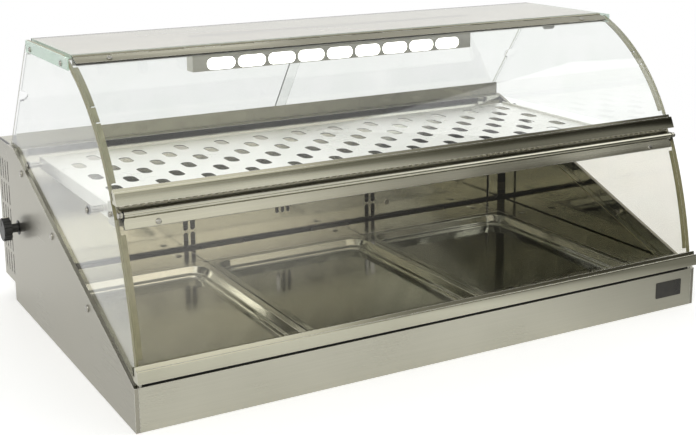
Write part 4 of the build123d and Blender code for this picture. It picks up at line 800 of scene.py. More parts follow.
# Deep drawn pan: the press burnishes the sheet, so that a sharp reflection lies over a soft one,
# and the rounded walls turn into bright and dark bands. Draw marks 2.4 mm apart are coarser than
# the real ones, so that they show.
DRAWN_PAN = Metal(
    "deep drawn stainless pan",
    "A0A092",
    "AEAEA0",
    Grain.Y,
    spacing_mm=2.4,
    roughness=0.13,
    bump=0.006,
    wave_mm=140.0,
    wave_depth_mm=0.1,
    # Its rims get a painted highlight, 0.8 mm wide.
    edge_mm=0.8,
    edge_roughness=0.28,
    coat=0.5,
    coat_roughness=0.05,
)

# Handle rail, polished before it was anodised: a mirror along its length, bowed a little.
HANDLE_RAIL = Metal(
    "polished aluminium upper rail",
    "A6A493",
    "B8B6A5",
    Grain.X,
    2.0,
    500.0,
    roughness=0.12,
    swing=0.03,
    bump=0.02,
    edge_mm=0.45,
    hollow=Hollow(foot_mm=314.8, step_mm=331.1, low=-0.035, high=0.026, lip=0.33),
)

FINISHES = {
    # Stainless sheet ground lengthwise with a fine belt: a soft grey-beige sheen with long faint
    # lines. Real lines lie 0.2 mm apart, and are drawn coarser so that they show at this distance.
    "panel": Metal(
        "belt ground stainless panel", "A9A799", "B7B5A7", Grain.X, 1.4, 300.0, roughness=0.3
    ),
    "left_sheet": SIDE_SHEET,
    # The right side turns its inner face to the eye. That face is painted darker than the same
    # mirror finish on the left panel: a painted reflection of the darker part of the case.
    "right_sheet": replace(
        SIDE_SHEET,
        name="ground stainless right side",
        bump=0.004,
        inner="949486",
        inner_side=-1.0,
    ),
    # Cold rolled bright sheet, left as it came from the mill: blurred mirror, a little wavy.
    "inner_sheet": Metal(
        "bright rolled stainless sheet", "BAB9AE", "C8C7BC", Grain.X, roughness=0.13, bump=0.01
    ),
    # The same sheet on the back wall, painted a lighter tone than the deck: painted light. It is
    # large enough that its slow waves bend the reflections.
    "wall_sheet": Metal(
        "bright rolled stainless wall",
        "C6C6BB",
        "D2D2C7",
        Grain.X,
        roughness=0.12,
        bump=0.005,
        wave_mm=160.0,
        wave_depth_mm=0.25,
    ),
    # The same sheet on the lift-off covers, painted a lighter tone than the deck: painted light,
    # and scuffed in palm-sized patches by years of wiping.
    "cover_sheet": Metal(
        "scuffed stainless cover plate",
        "C6C5BA",
        "D4D3C8",
        Grain.X,
        roughness=0.16,
        bump=0.01,
        cloud_mm=60.0,
    ),
    # The three pans are one steel in three tones: the left one is painted paler, painted light, and
    # the right one painted darker, painted shade.
    "fresh_pan": replace(
        DRAWN_PAN,
        name="deep drawn stainless pan, painted paler",
        # Painted light: paler than the middle pan of the same steel.
        dark="D2D1C6",
        light="DEDDD2",
        roughness=0.15,
    ),
    "pan_steel": DRAWN_PAN,
    "worn_pan": replace(
        DRAWN_PAN,
        name="deep drawn stainless pan, painted darker",
        # Painted shade: darker than the middle pan of the same steel.
        dark="85867C",
        light="95968B",
    ),
    # Shelf sheet, glass bead finished, painted nearly white: painted light from the lamp right
    # above it.
    "shelf_steel": Metal(
        "bead blasted stainless shelf",
        "E2E1DA",
        "F2F1EC",
        Grain.X,
        3.0,
        20.0,
        roughness=0.3,
        bump=0.02,
    ),
    # The same sheet where it is punched, painted whiter still: painted light. Its slot walls are
    # painted dark olive, painted shade in the slots, and its slot rims a little darker than the
    # sheet.
    "slotted_steel": Metal(
        "bead blasted shelf with punched slots",
        "F0EFE9",
        "FAF9F5",
        Grain.X,
        3.0,
        20.0,
        roughness=0.3,
        bump=0.02,
        edge_mm=0.15,
        edge="DAD9D0",
        punched="45443A",
    ),
    # Folded stainless of the lamp case, as it was bought: a soft sheen without long lines.
    "lamp_steel": Metal("folded stainless lamp case", "A7A597", "BEBCAF", Grain.X, roughness=0.3),
    # Drawn and anodised aluminium section: die lines run the whole length, 2 mm apart.
    "extrusion": Metal(
        "anodised aluminium section",
        "A6A494",
        "BEBCAC",
        Grain.X,
        2.0,
        500.0,
        roughness=0.18,
        edge_mm=0.4,
    ),
    # The same section under the top glass and behind the shelf, painted darker: painted shade.
    "dull_rail": Metal(
        "anodised aluminium rail, painted darker", "858372", "959383", Grain.X, 2.0, 500.0, roughness=0.16
    ),
    # The two handle rails differ in where they stand and how far they lean.
    "upper_rail": HANDLE_RAIL,
    "lower_rail": replace(
        HANDLE_RAIL,
        name="polished aluminium lower rail",
        hollow=Hollow(foot_mm=75.5, step_mm=92.7, low=0.0, high=0.14, lip=0.36),
    ),
    # Thin punched stainless strip, painted pale: painted light, since it lies in the shadow under
    # the handle rail.
    "strip_steel": Metal(
        "punched stainless strip", "D6D3C6", "E4E1D5", Grain.X, 1.2, 60.0, roughness=0.28
    ),
    # Zinc plated and turned steel: bright, with fine turning marks.
    "screw": Metal(
        "bright zinc plated steel",
        "8A8880",
        "AAA8A0",
        Grain.X,
        0.6,
        6.0,
        roughness=0.12,
        edge_mm=0.3,
    ),
    # Turned brass under thin nickel, worn yellow where a screwdriver has been.
    "brass": Metal(
        "nickel plated brass", "B09C6C", "C8B582", Grain.X, 0.6, 6.0, roughness=0.24, edge_mm=0.3
    ),
    # Hot dipped sheet of the fan's blades: blue-grey, blotched by the zinc.
    "fan_steel": Metal(
        "rolled galvanised steel", "8B8C8A", "A6A7A4", Grain.X, 3.0, 12.0, roughness=0.36
    ),
    # Heater tube oxidised by its own heat: dull brown-black with blue-grey patches.
    "sheath": Metal(
        "oxidised heater sheath", "3E3A34", "5A5550", Grain.X, 1.2, 30.0, roughness=0.5
    ),
    # Stoved enamel on the motor's cast frame: charcoal, with a slight orange peel.
    "motor": Moulded("baked motor paint", "2E3033", "3A3C40", 0.5, 1.5),
    # Glass filled nylon from a spark eroded mould: near black, with a satin grain.
    "black": Moulded("black moulded nylon", "0F0F0E", "1A1918", 0.4),
    # Moulded and post-cured silicone: matt, and dustier than the nylon.
    "rubber": Moulded("black silicone rubber", "141413", "1F1E1D", 0.7),
    # Clear vinyl sleeve, yellowed to olive by years of heat.
    "vinyl": Moulded("yellowed vinyl edge seal", "817D5C", "979270", 0.35, 2.0, 0.05),
    # Open cell dust filter: soot coloured, with no sheen at all.
    "foam": Moulded("black filter foam", "0E0E0D", "191917", 0.95, 0.8, 0.6),
    # Injection moulded polyamide, undyed: warm off-white, a little waxy.
    "cream": Moulded("cream polyamide", "D8D3C3", "E4DFD0", 0.4),
    # Injection moulded ABS of the tab: even mid grey, satin.
    "grey": Moulded("grey moulded plastic", "8A8A80", "9A9A90", 0.5),
    # Enamel fired on a thin plate: black, smooth, with long soft ripples.
    "plate": Moulded("black enamelled plate", "22211C", "2F2D27", 0.3, 3.0, 0.03),
    # Cast opal acrylic over the lit tube: so bright that only its outline shows.
    "opal": LitOpal("lit opal acrylic", "FFFFF8", 3.5),
    # Float glass, bent for the flaps, with polished cut edges that gather an olive tone.
    "bent_glass": Glass("bent float glass", Cut.BENT),
    # The lower flap's glass is painted warm beige: painted shade of the darker background seen
    # through it.
    "warm_glass": Glass(
        "bent float glass of the lower flap", Cut.BENT, body="F0ECE4", body_light="F4F1EA"
    ),
    # Flat float glass of the sides, its cut edges polished to the same olive.
    "side_glass": Glass("flat float glass", Cut.SIDE),
    # Door panes, whose ground edges stay pale because they are thin.
    "door_glass": Glass(
        "thin float glass of the doors", Cut.BENT, edge="D9DED6", edge_clear=0.8
    ),
    # Toughened plate on top, dulled by trays set down on it: a beige veil over the lamp case.
    "top_glass": Glass(
        "pale top glass",
        Cut.LEVEL,
        body="CFCCC0",
        body_light="D5D2C6",
        edge="C9D6C8",
        clear=0.42,
        roughness=0.05,
    ),
    # Extruded acrylic band: pale green and milky, brightest at its sawn ends.
    "band": Glass(
        "milky acrylic band",
        Cut.SIDE,
        body="DFF0E4",
        body_light="E6F3EA",
        edge="D6EBDB",
        clear=0.6,
        roughness=0.2,
    ),
}


@dataclass
class Assembly:
    """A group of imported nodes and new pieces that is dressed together."""

    shop: dict[str, bpy.types.Material]
    nodes: dict[str, str] = field(default_factory=dict)

    def build(self) -> None:
        """Dress the nodes, then build the new pieces."""
        for name, finish in self.nodes.items():
            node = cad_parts[name]
            node.data.materials.clear()
            node.data.materials.append(self.shop[finish])
            log.info("dressed %s", name)
        self.build_pieces()

    def build_pieces(self) -> None:
        """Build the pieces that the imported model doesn't have."""

    def add(self, name: str, shape: bmesh.types.BMesh, body: str, slot: str, finish: str) -> None:
        """Turn a finished shape into a piece that rides on a body.

        Args:
            name: Name of the piece.
            shape: Its shape in place, freed here.
            body: Body that carries it.
            slot: Material slot of the record; not used.
            finish: Key of its material.
        """
        bmesh.ops.remove_doubles(shape, verts=shape.verts, dist=1e-6)
        bmesh.ops.recalc_face_normals(shape, faces=shape.faces)
        put_in_order(shape)
        mesh = bpy.data.meshes.new(name)
        shape.to_mesh(mesh)
        shape.free()
        mesh.materials.append(self.shop[finish])
        mesh.shade_smooth()
        mesh.set_sharp_from_angle(angle=math.radians(32))
        piece = bpy.data.objects.new(name, mesh)
        bpy.context.collection.objects.link(piece)
        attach(piece, body)
        log.info("built %s", name)


def put_in_order(shape: bmesh.types.BMesh) -> None:
    """Order the faces by where they lie, because a spin leaves them in another order each run.

    Args:
        shape: Shape whose faces are put in order.
    """
    shape.faces.index_update()
    ranked = sorted(shape.faces, key=lambda face: tuple(face.calc_center_median()))
    rank = {face.index: place for place, face in enumerate(ranked)}
    shape.faces.sort(key=lambda face: rank[face.index])


def turned(
    shape: bmesh.types.BMesh,
    profile: list[tuple[float, float]],
    centre: Vector,
    axis: Vector,
    steps: int = 48,
) -> None:
    """Spin a closed profile round an axis.

    Args:
        shape: Shape that gets the turned form.
        profile: Distance along the axis and radius of each corner, in metres.
        centre: Point on the axis that the distances start from.
        axis: Direction of the axis.
        steps: Number of steps round the axis.
    """
    side = axis.orthogonal().normalized()
    verts = [shape.verts.new(centre + axis * along + side * radius) for along, radius in profile]
    edges = [shape.edges.new((a, b)) for a, b in zip(verts, verts[1:] + verts[:1])]
    bmesh.ops.spin(
        shape,
        geom=verts + edges,
        cent=centre,
        axis=axis,
        angle=math.tau,
        steps=steps,
        use_merge=True,
    )


def rounded_block(
    shape: bmesh.types.BMesh, low: Vector, high: Vector, radius: float, segments: int = 2
) -> None:
    """Add a block with rounded edges.

    Args:
        shape: Shape that gets the block.
        low: Lowest corner, in metres.
        high: Highest corner, in metres.
        radius: Radius of its edges, in metres.
        segments: Steps of each rounding.
    """
    size = high - low
    place = Matrix.Translation((low + high) / 2) @ Matrix.Diagonal((*size, 1.0))
    made = bmesh.ops.create_cube(shape, size=1.0, matrix=place)
    edges = {edge for vert in made["verts"] for edge in vert.link_edges}
    bmesh.ops.bevel(
        shape,
        geom=list(edges),
        offset=radius,
        offset_type="OFFSET",
        affect="EDGES",
        segments=segments,
        profile=0.5,
        material=-1,
    )


def bowed_strip(
    shape: bmesh.types.BMesh,
    section: list[tuple[float, float]],
    centre: Vector,
    span: tuple[float, float],
    steps: int = 24,
) -> None:
    """Sweep a section along an arc in a plane square to X.

    Args:
        shape: Shape that gets the strip.
        section: X and radius of each corner, in metres.
        centre: Centre of the arc.
        span: Angles above the horizontal where the strip starts and ends, in degrees.
        steps: Number of steps along the arc.
    """
    start, end = (math.radians(angle) for angle in span)
    ahead = Vector((0, -math.cos(start), math.sin(start)))
    verts = [
        shape.verts.new(Vector((x, centre.y, centre.z)) + ahead * radius) for x, radius in section
    ]
    edges = [shape.edges.new((a, b)) for a, b in zip(verts, verts[1:] + verts[:1])]
    bmesh.ops.spin(
        shape, geom=verts + edges, cent=centre, axis=(1, 0, 0), angle=start - end, steps=steps
    )
    rims = [edge for edge in shape.edges if edge.is_boundary]
    bmesh.ops.holes_fill(shape, edges=rims, sides=len(section))


@dataclass
class Cabinet(Assembly):
    """Base, side panels, deck, covers and back wall."""

    seal_half: float = 512.0 * MM
    seal_depth: tuple[float, float] = (-317.5 * MM, -308.5 * MM)
    seal_height: float = 7.2 * MM
    seal_base: float = 2.0 * MM
    seal_base_round: float = 0.4 * MM
    seal_ribs: int = 3
    rib_round: float = 0.5 * MM
    filter_depth: tuple[float, float] = (313.0 * MM, 377.0 * MM)
    filter_rise: tuple[float, float] = (45.0 * MM, 267.0 * MM)
    filter_thickness: float = 4.0 * MM
    filter_gap: float = 0.2 * MM
    pleats: int = 12
    pleat_round: float = 1.5 * MM
    nodes: dict[str, str] = field(
        default_factory=lambda: {
            "base_tray": "panel",
            "front_panel": "panel",
            "side_panel_left": "left_sheet",
            "side_panel_right": "right_sheet",
            "deck": "inner_sheet",
            "rear_deck_covers": "cover_sheet",
            "water_tray": "inner_sheet",
            "back_wall": "wall_sheet",
            "housing_floor": "panel",
            "rear_cover": "panel",
            "rear_top_cover": "panel",
            "flap_stops": "screw",
            "blank_plate": "plate",
        }
    )

    def build_pieces(self) -> None:
        """Lay the sill seal on the front panel and set the filters behind the vents."""
        self.build_seal()
        self.build_filters()

    def build_seal(self) -> None:
        """Lay a ribbed rubber strip that the lower flap closes over."""
        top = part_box("front_panel")[1].z + PLAY
        front, rear = self.seal_depth
        half = self.seal_half
        shape = bmesh.new()
        low = Vector((-half, front, top))
        high = Vector((half, rear, top + self.seal_base))
        rounded_block(shape, low, high, self.seal_base_round)
        width = (rear - front) / (2 * self.seal_ribs - 1)
        for rib in range(self.seal_ribs):
            near = front + 2 * rib * width
            low = Vector((-half, near, top + self.seal_base / 2))
            high = Vector((half, near + width, top + self.seal_height))
            rounded_block(shape, low, high, self.rib_round, 3)
        self.add("sill_seal", shape, "case", "rubber", "rubber")

    def build_filters(self) -> None:
        """Set a pleated dust filter behind the vent slots of each side panel."""
        shape = bmesh.new()
        near, far = self.filter_depth
        low, high = self.filter_rise
        pitch = (high - low) / self.pleats
        gap = self.filter_gap
        wall = -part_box("side_panel_left")[1].x - gap
        for side in (-1.0, 1.0):
            left, right = sorted((side * wall, side * (wall - self.filter_thickness)))
            for pleat in range(self.pleats):
                foot = low + pleat * pitch
                rounded_block(
                    shape,
                    Vector((left, near, foot + gap)),
                    Vector((right, far, foot + pitch - gap)),
                    self.pleat_round,
                    3,
                )
        self.add("dust_filters", shape, "case", "black_plastic", "foam")


@dataclass
class PanRow(Assembly):
    """The three pans that lie side by side."""

    nodes: dict[str, str] = field(
        default_factory=lambda: {"pan_1": "fresh_pan", "pan_2": "pan_steel", "pan_3": "worn_pan"}
    )


@dataclass
class Canopy(Assembly):
    """Top and side glasses with what holds them."""

    seal_width: float = 7.0 * MM
    seal_thickness: float = 5.0 * MM
    upper_centre: tuple[float, float] = (61.7 * MM, 185.5 * MM)
    upper_radius: float = 329.6 * MM
    upper_spans: tuple[tuple[float, float], ...] = ((28.0, 44.3), (44.8, 49.3), (49.8, 64.5))
    lower_centre: tuple[float, float] = (511.4 * MM, -28.7 * MM)
    lower_radius: float = 829.6 * MM
    lower_spans: tuple[tuple[float, float], ...] = ((9.1, 21.3),)
    seal_lip: float = 1.5 * MM
    seal_web: float = 2.0 * MM
    bead_depth: float = 5.0 * MM
    bead_gap: float = 0.1 * MM
    bead_round: float = 1.2 * MM
    nodes: dict[str, str] = field(
        default_factory=lambda: {
            "top_glass": "top_glass",
            "side_glass_left": "side_glass",
            "side_glass_right": "side_glass",
            "side_bands": "band",
            "top_angles": "band",
            "top_front_rail": "dull_rail",
            "upper_hinge_pin": "screw",
            "ceiling_tab": "grey",
            "glass_screws": "screw",
            "small_screws": "screw",
        }
    )

    def build_pieces(self) -> None:
        """Lay the bead behind the top glass and glue the seals to the side glasses."""
        self.build_bead()
        self.build_edge_seals()

    def build_bead(self) -> None:
        """Lay a black bead on the upper track, behind the rear edge of the top glass."""
        low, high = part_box("top_glass")
        shape = bmesh.new()
        near = high.y + self.bead_gap
        rounded_block(
            shape,
            Vector((low.x, near, low.z + self.bead_gap)),
            Vector((high.x, near + self.bead_depth, high.z - PLAY)),
            self.bead_round,
            3,
        )
        self.add("top_bead", shape, "case", "rubber", "rubber")

    def build_edge_seals(self) -> None:
        """Glue a seal to the inner face of each side glass, along its bowed front edge."""
        shape = bmesh.new()
        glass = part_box("side_glass_right")[0].x - PLAY
        arcs = (
            (self.upper_centre, self.upper_radius, self.upper_spans),
            (self.lower_centre, self.lower_radius, self.lower_spans),
        )
        for (depth, height), radius, spans in arcs:
            for side in (-1.0, 1.0):
                outer, inner = side * glass, side * (glass - self.seal_width)
                web = side * (glass - self.seal_web)
                lip, back = radius - self.seal_lip, radius - self.seal_thickness
                section = [
                    (outer, radius),
                    (inner, radius),
                    (inner, lip),
                    (web, lip),
                    (web, back),
                    (outer, back),
                ]
                for span in spans:
                    bowed_strip(shape, section, Vector((0, depth, height)), span)
        self.add("edge_seals", shape, "case", "clear_band", "vinyl")


@dataclass
class LampCase(Assembly):
    """Lamp housing with its tube, caps and holders."""

    cap_length: float = 14.0 * MM
    cap_wall: float = 0.5 * MM
    cap_inset: float = 0.3 * MM
    nodes: dict[str, str] = field(
        default_factory=lambda: {
            "lamp_housing": "lamp_steel",
            "lamp_tube": "opal",
            "lamp_diffuser": "opal",
        }
    )

    def build_pieces(self) -> None:
        """Put an aluminium cap over each end of the tube."""
        low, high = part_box("lamp_tube")
        centre = (low + high) / 2
        inner = (high.z - low.z) / 2 + PLAY
        outer = inner + self.cap_wall
        shape = bmesh.new()
        for end, turn in ((low.x, 1.0), (high.x, -1.0)):
            start = Vector((end + turn * self.cap_inset, centre.y, centre.z))
            reach = self.cap_length
            profile = [
                (0.0, inner),
                (0.0, outer - self.cap_wall / 2),
                (self.cap_wall / 2, outer),
                (reach, outer),
                (reach, inner),
            ]
            turned(shape, profile, start, Vector((turn, 0, 0)))
        self.add("lamp_caps", shape, "case", "aluminium", "extrusion")


@dataclass
class Crossing(Assembly):
    """Middle beam, its punched strip and the lower flap's hinge rod."""

    nodes: dict[str, str] = field(
        default_factory=lambda: {
            "mid_beam": "panel",
            "perforated_strip": "strip_steel",
            "hinge_brackets": "panel",
            "lower_hinge_rod": "screw",
        }
    )


@dataclass
class ShelfRack(Assembly):
    """Perforated shelf on its frame, with the studs and pads at the side glasses."""

    nodes: dict[str, str] = field(
        default_factory=lambda: {
            "shelf": "slotted_steel",
            "shelf_frame": "shelf_steel",
            "shelf_studs": "screw",
            "stud_pads": "rubber",
        }
    )


@dataclass
class UpperFlap(Assembly):
    """Bent upper glass with its top channel and handle rail."""

    nodes: dict[str, str] = field(
        default_factory=lambda: {
            "upper_glass": "bent_glass",
            "upper_handle": "upper_rail",
            "upper_channel": "dull_rail",
            "upper_screws": "screw",
        }
    )


@dataclass
class LowerFlap(Assembly):
    """Bent lower glass with its hinge tube, clamp strip and handle rail."""

    ring_gap: float = 0.3 * MM
    ring_length: float = 1.8 * MM
    ring_inner: float = 4.9 * MM
    ring_outer: float = 7.7 * MM
    ring_bevel: float = 0.3 * MM
    tube_radius: float = 8.0 * MM
    nodes: dict[str, str] = field(
        default_factory=lambda: {
            "lower_glass": "warm_glass",
            "lower_handle": "lower_rail",
            "hinge_tube": "extrusion",
            "clamp_strip": "extrusion",
            "clamp_screws": "screw",
        }
    )

    def build_pieces(self) -> None:
        """Put a nylon ring against each end of the hinge tube."""
        low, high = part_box("hinge_tube")
        shape = bmesh.new()
        for side in (-1.0, 1.0):
            near = side * (high.x + self.ring_gap)
            start = Vector((near, (low.y + high.y) / 2, high.z - self.tube_radius))
            reach = self.ring_length
            profile = [
                (0.0, self.ring_inner),
                (0.0, self.ring_outer - self.ring_bevel),
                (self.ring_bevel, self.ring_outer),
                (reach, self.ring_outer),
                (reach, self.ring_inner),
            ]
            turned(shape, profile, start, Vector((side, 0, 0)), 32)
        self.add("tube_rings", shape, "lower_flap", "black_plastic", "black")


@dataclass
class RearDoors(Assembly):
    """Two clear sliding doors and their tracks."""

    nodes: dict[str, str] = field(
        default_factory=lambda: {
            "door_left": "door_glass",
            "door_right": "door_glass",
            "door_track_lower": "dull_rail",
            "door_track_upper": "extrusion",
        }
    )


@dataclass
class Machinery(Assembly):
    """Heater, fan and terminals in the rear housing."""

    screw_radius: float = 2.2 * MM
    screw_height: float = 1.6 * MM
    screw_bore: float = 0.3 * MM
    screw_drop: float = 2.4 * MM
    crown_start: float = 0.7
    crown_share: float = 0.8
    columns: int = 4
    pitch: float = 12.0 * MM
    nodes: dict[str, str] = field(
        default_factory=lambda: {
            "thermostat": "black",
            "probe": "screw",
            "heater": "sheath",
            "fan_drum": "fan_steel",
            "fan_motor": "motor",
            "terminal_block": "cream",
        }
    )

    def build_pieces(self) -> None:
        """Set brass screws in the holes of the terminal block."""
        low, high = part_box("terminal_block")
        centre = (low + high) / 2
        shape = bmesh.new()
        radius, height, bore = self.screw_radius, self.screw_height, self.screw_bore
        profile = [
            (0.0, bore),
            (0.0, radius),
            (height * self.crown_start, radius),
            (height, radius * self.crown_share),
            (height, bore),
        ]
        for column in range(self.columns):
            for row in (-0.5, 0.5):
                x = centre.x + (column - (self.columns - 1) / 2) * self.pitch
                base = Vector((x, centre.y + row * self.pitch, high.z - self.screw_drop))
                turned(shape, profile, base, Vector((0, 0, 1)), 20)
        self.add("terminal_screws", shape, "case", "bright_steel", "brass")


@dataclass
class Controls(Assembly):
    """Knob, lamp switch and mains inlet."""

    pointer_width: float = 2.0 * MM
    pointer_height: float = 0.5 * MM
    pointer_start: float = 2.5 * MM
    pointer_length: float = 10.0 * MM
    pointer_round: float = 0.2 * MM
    collar_inner: float = 8.8 * MM
    collar_outer: float = 13.0 * MM
    collar_length: float = 1.1 * MM
    nodes: dict[str, str] = field(
        default_factory=lambda: {
            "knob": "black",
            "switch_body": "black",
            "rocker": "black",
            "mains_inlet": "black",
        }
    )

    def build_pieces(self) -> None:
        """Lay a pointer on the knob and a collar round its stem."""
        self.build_pointer()
        self.build_collar()

    def build_collar(self) -> None:
        """Put a black collar against the side panel, round the knob's stem."""
        low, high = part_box("knob")
        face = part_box("side_panel_left")[0].x - PLAY
        start = Vector((face, (low.y + high.y) / 2, (low.z + high.z) / 2))
        reach, inner, outer = self.collar_length, self.collar_inner, self.collar_outer
        profile = [
            (0.0, inner),
            (0.0, outer),
            (reach / 2, outer),
            (reach, outer - reach),
            (reach, inner),
        ]
        shape = bmesh.new()
        turned(shape, profile, start, Vector((-1, 0, 0)))
        self.add("knob_collar", shape, "case", "black_plastic", "black")

    def build_pointer(self) -> None:
        """Lay a white pointer along the top of the knob."""
        low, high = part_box("knob")
        middle = (low.y + high.y) / 2
        half, rise = self.pointer_width / 2, self.pointer_height
        start = low.x + self.pointer_start
        shape = bmesh.new()
        rounded_block(
            shape,
            Vector((start, middle - half, high.z - rise)),
            Vector((start + self.pointer_length, middle + half, high.z + rise)),
            self.pointer_round,
        )
        self.add("knob_pointer", shape, "control_knob", "cream_plastic", "cream")


@dataclass(frozen=True)
class Viewpoint:
    """Where the photograph was taken from, and how it was framed.

    Attributes:
        position: Place of the lens, in metres.
        yaw: How far it looks to the right of straight back, in degrees.
        pitch: How far it looks down, in degrees.
        roll: How far it is tilted, in degrees.
        focal_px: Focal length in pixels of the photograph.
        width_px: Width of the photograph.
        height_px: Height of the photograph.
        centre_row: Row of the photograph that the lens points at.
        sensor_mm: Width of the camera's sensor.
        clip: Nearest and furthest distance that shows, in metres.
    """

    position: tuple[float, float, float] = (-1.04617, -1.86081, 0.76973)
    yaw: float = 29.26
    pitch: float = 12.71
    roll: float = -0.44
    focal_px: float = 1231.56
    width_px: float = 696.0
    height_px: float = 435.0
    centre_row: float = 147.5
    sensor_mm: float = 36.0
    clip: tuple[float, float] = (0.05, 60.0)

    def build(self) -> None:
        """Make the camera and set it as the scene's own."""
        yaw, pitch, roll = (math.radians(v) for v in (self.yaw, self.pitch, self.roll))
        level = math.cos(pitch)
        ahead = Vector((math.sin(yaw) * level, math.cos(yaw) * level, -math.sin(pitch)))
        right = Vector((math.cos(yaw), -math.sin(yaw), 0.0))
        up = right.cross(ahead)
        side = right * math.cos(roll) + up * math.sin(roll)
        top = up * math.cos(roll) - right * math.sin(roll)
        turn = Matrix((side, top, -ahead)).transposed().to_4x4()
        lens = bpy.data.cameras.new("camera")
        lens.sensor_width = self.sensor_mm
        lens.lens = self.focal_px / self.width_px * lens.sensor_width
        lens.shift_y = (self.centre_row - self.height_px / 2) / self.width_px
        lens.clip_start, lens.clip_end = self.clip
        camera = bpy.data.objects.new("camera", lens)
        bpy.context.collection.objects.link(camera)
        camera.matrix_world = Matrix.Translation(self.position) @ turn
        bpy.context.scene.camera = camera


@dataclass
class Studio:
    """Pale floor, white surroundings and soft lamps.

    Attributes:
        floor_half: Half the side of the table's square.
        floor_front: Y of the table's front edge.
        floor_drop: How far the table lies below the case's base.
        floor_colour: Colour of its paper.
        floor_rough: Roughness of its paper.
        floor_dim: X where the mirrored paper starts to darken, and where it is darkest.
        floor_dim_most: Share of the shade there.
        floor_shade: Colour of the shade.
        glow: Light added to the paper where it is seen, so that it turns white.
        sky: Strength of the surroundings as a light.
        ahead_fade: Y of a direction where the mirrored room starts to dim and is dim.
        top_fade: Z where it starts to dim under the soft box and is dim.
        side_fade: X from the first to the last of the stops.
        rise_fade: Z from the low to the high stops.
        low_stops: Colours near and below the horizon, from left to right.
        high_stops: Colours above it, from left to right.
        high_gain: Strength of the colours above it.
        lamps: Name, place, size and power in watts of each lamp.
        aim_height: Height of the point that the lamps face.
    """

    floor_half: float = 1.5
    floor_front: float = -1.42
    floor_drop: float = 0.5 * MM
    floor_colour: str = "F2F2F0"
    floor_rough: float = 0.9
    floor_dim: tuple[float, float] = (0.25, 0.75)
    floor_dim_most: float = 0.8
    floor_shade: str = "5A594E"
    glow: float = 0.3
    sky: float = 0.72
    ahead_fade: tuple[float, float] = (0.2, -0.2)
    top_fade: tuple[float, float] = (0.6, 0.36)
    side_fade: tuple[float, float] = (0.34, 0.64)
    rise_fade: tuple[float, float] = (0.04, 0.2)
    low_stops: tuple[tuple[float, str], ...] = (
        (0.0, "E0DFD8"),
        (0.13, "AAA99F"),
        (0.43, "88877C"),
        (0.7, "5A594E"),
        (1.0, "26251E"),
    )
    high_stops: tuple[tuple[float, str], ...] = (
        (0.1, "DAD9D4"),
        (0.3, "C6C5C0"),
        (0.47, "7A7974"),
        (0.77, "504F4A"),
        (1.0, "363530"),
    )
    high_gain: float = 2.1
    lamps: tuple[tuple[str, tuple[float, float, float], float, float], ...] = (
        ("key", (-2.2, -2.4, 3.2), 2.4, 45.0),
        ("fill", (2.6, -1.6, 2.4), 2.0, 14.0),
        ("rear", (0.6, 2.8, 2.6), 2.0, 16.0),
    )
    aim_height: float = 0.2

    def seen(self, tree: bpy.types.NodeTree) -> bpy.types.NodeSocket:
        """Tell a ray that shows a surface from one that lights it.

        Args:
            tree: Node tree that gets the nodes.

        Returns:
            One for a ray from the camera, off metal or through glass.
        """
        path = add_node(tree, "LightPath")
        straight = add_node(
            tree,
            "Math",
            {"operation": "MAXIMUM"},
            {0: path.outputs["Is Camera Ray"], 1: path.outputs["Is Transmission Ray"]},
        )
        return add_node(
            tree,
            "Math",
            {"operation": "MAXIMUM"},
            {0: straight.outputs[0], 1: path.outputs["Is Glossy Ray"]},
        ).outputs[0]

    def build(self) -> None:
        """Make the floor, the world and the lamps."""
        self.build_floor()
        self.build_world()
        for name, place, size, power in self.lamps:
            self.build_lamp(name, Vector(place), size, power)

    def build_floor(self) -> None:
        """Make a wide sheet of white paper under the case."""
        mesh = bpy.data.meshes.new("floor")
        shape = bmesh.new()
        bmesh.ops.create_grid(shape, x_segments=1, y_segments=1, size=self.floor_half)
        shift = (0, self.floor_front + self.floor_half, -self.floor_drop)
        bmesh.ops.translate(shape, verts=shape.verts, vec=shift)
        shape.to_mesh(mesh)
        shape.free()
        floor = bpy.data.objects.new("floor", mesh)
        bpy.context.collection.objects.link(floor)
        mesh.materials.append(self.paper())

    def paper(self) -> bpy.types.Material:
        """Make the matt paper, darker to the right where metal mirrors it.

        Returns:
            Paper that is white to the eye and keeps the shadow of the case.
        """
        material, tree = new_tree("white paper sweep")
        paper = add_node(
            tree,
            "BsdfPrincipled",
            inputs={"Base Color": linear(self.floor_colour), "Roughness": self.floor_rough},
        )
        glow = add_node(tree, "Emission", inputs={"Color": linear("FFFFFF"), "Strength": self.glow})
        both = add_node(tree, "AddShader", inputs={0: paper.outputs[0], 1: glow.outputs[0]})
        mixed = add_node(
            tree, "MixShader", inputs={0: self.seen(tree), 1: paper.outputs[0], 2: both.outputs[0]}
        )
        place = add_node(tree, "TexCoord").outputs["Object"]
        side = add_node(tree, "SeparateXYZ", inputs={0: place}).outputs[0]
        near, far = self.floor_dim
        away = add_node(
            tree,
            "MapRange",
            inputs={
                "Value": side,
                "From Min": near,
                "From Max": far,
                "To Max": self.floor_dim_most,
            },
        )
        path = add_node(tree, "LightPath")
        mirrored = add_node(
            tree,
            "Math",
            {"operation": "SUBTRACT", "use_clamp": True},
            {0: path.outputs["Is Glossy Ray"], 1: path.outputs["Is Transmission Ray"]},
        )
        share = add_node(
            tree, "Math", {"operation": "MULTIPLY"}, {0: away.outputs[0], 1: mirrored.outputs[0]}
        )
        shade = add_node(
            tree, "Emission", inputs={"Color": linear(self.floor_shade), "Strength": 1.0}
        )
        dimmed = add_node(
            tree,
            "MixShader",
            inputs={0: share.outputs[0], 1: mixed.outputs[0], 2: shade.outputs[0]},
        )
        add_node(tree, "OutputMaterial", inputs={"Surface": dimmed.outputs[0]})
        return material

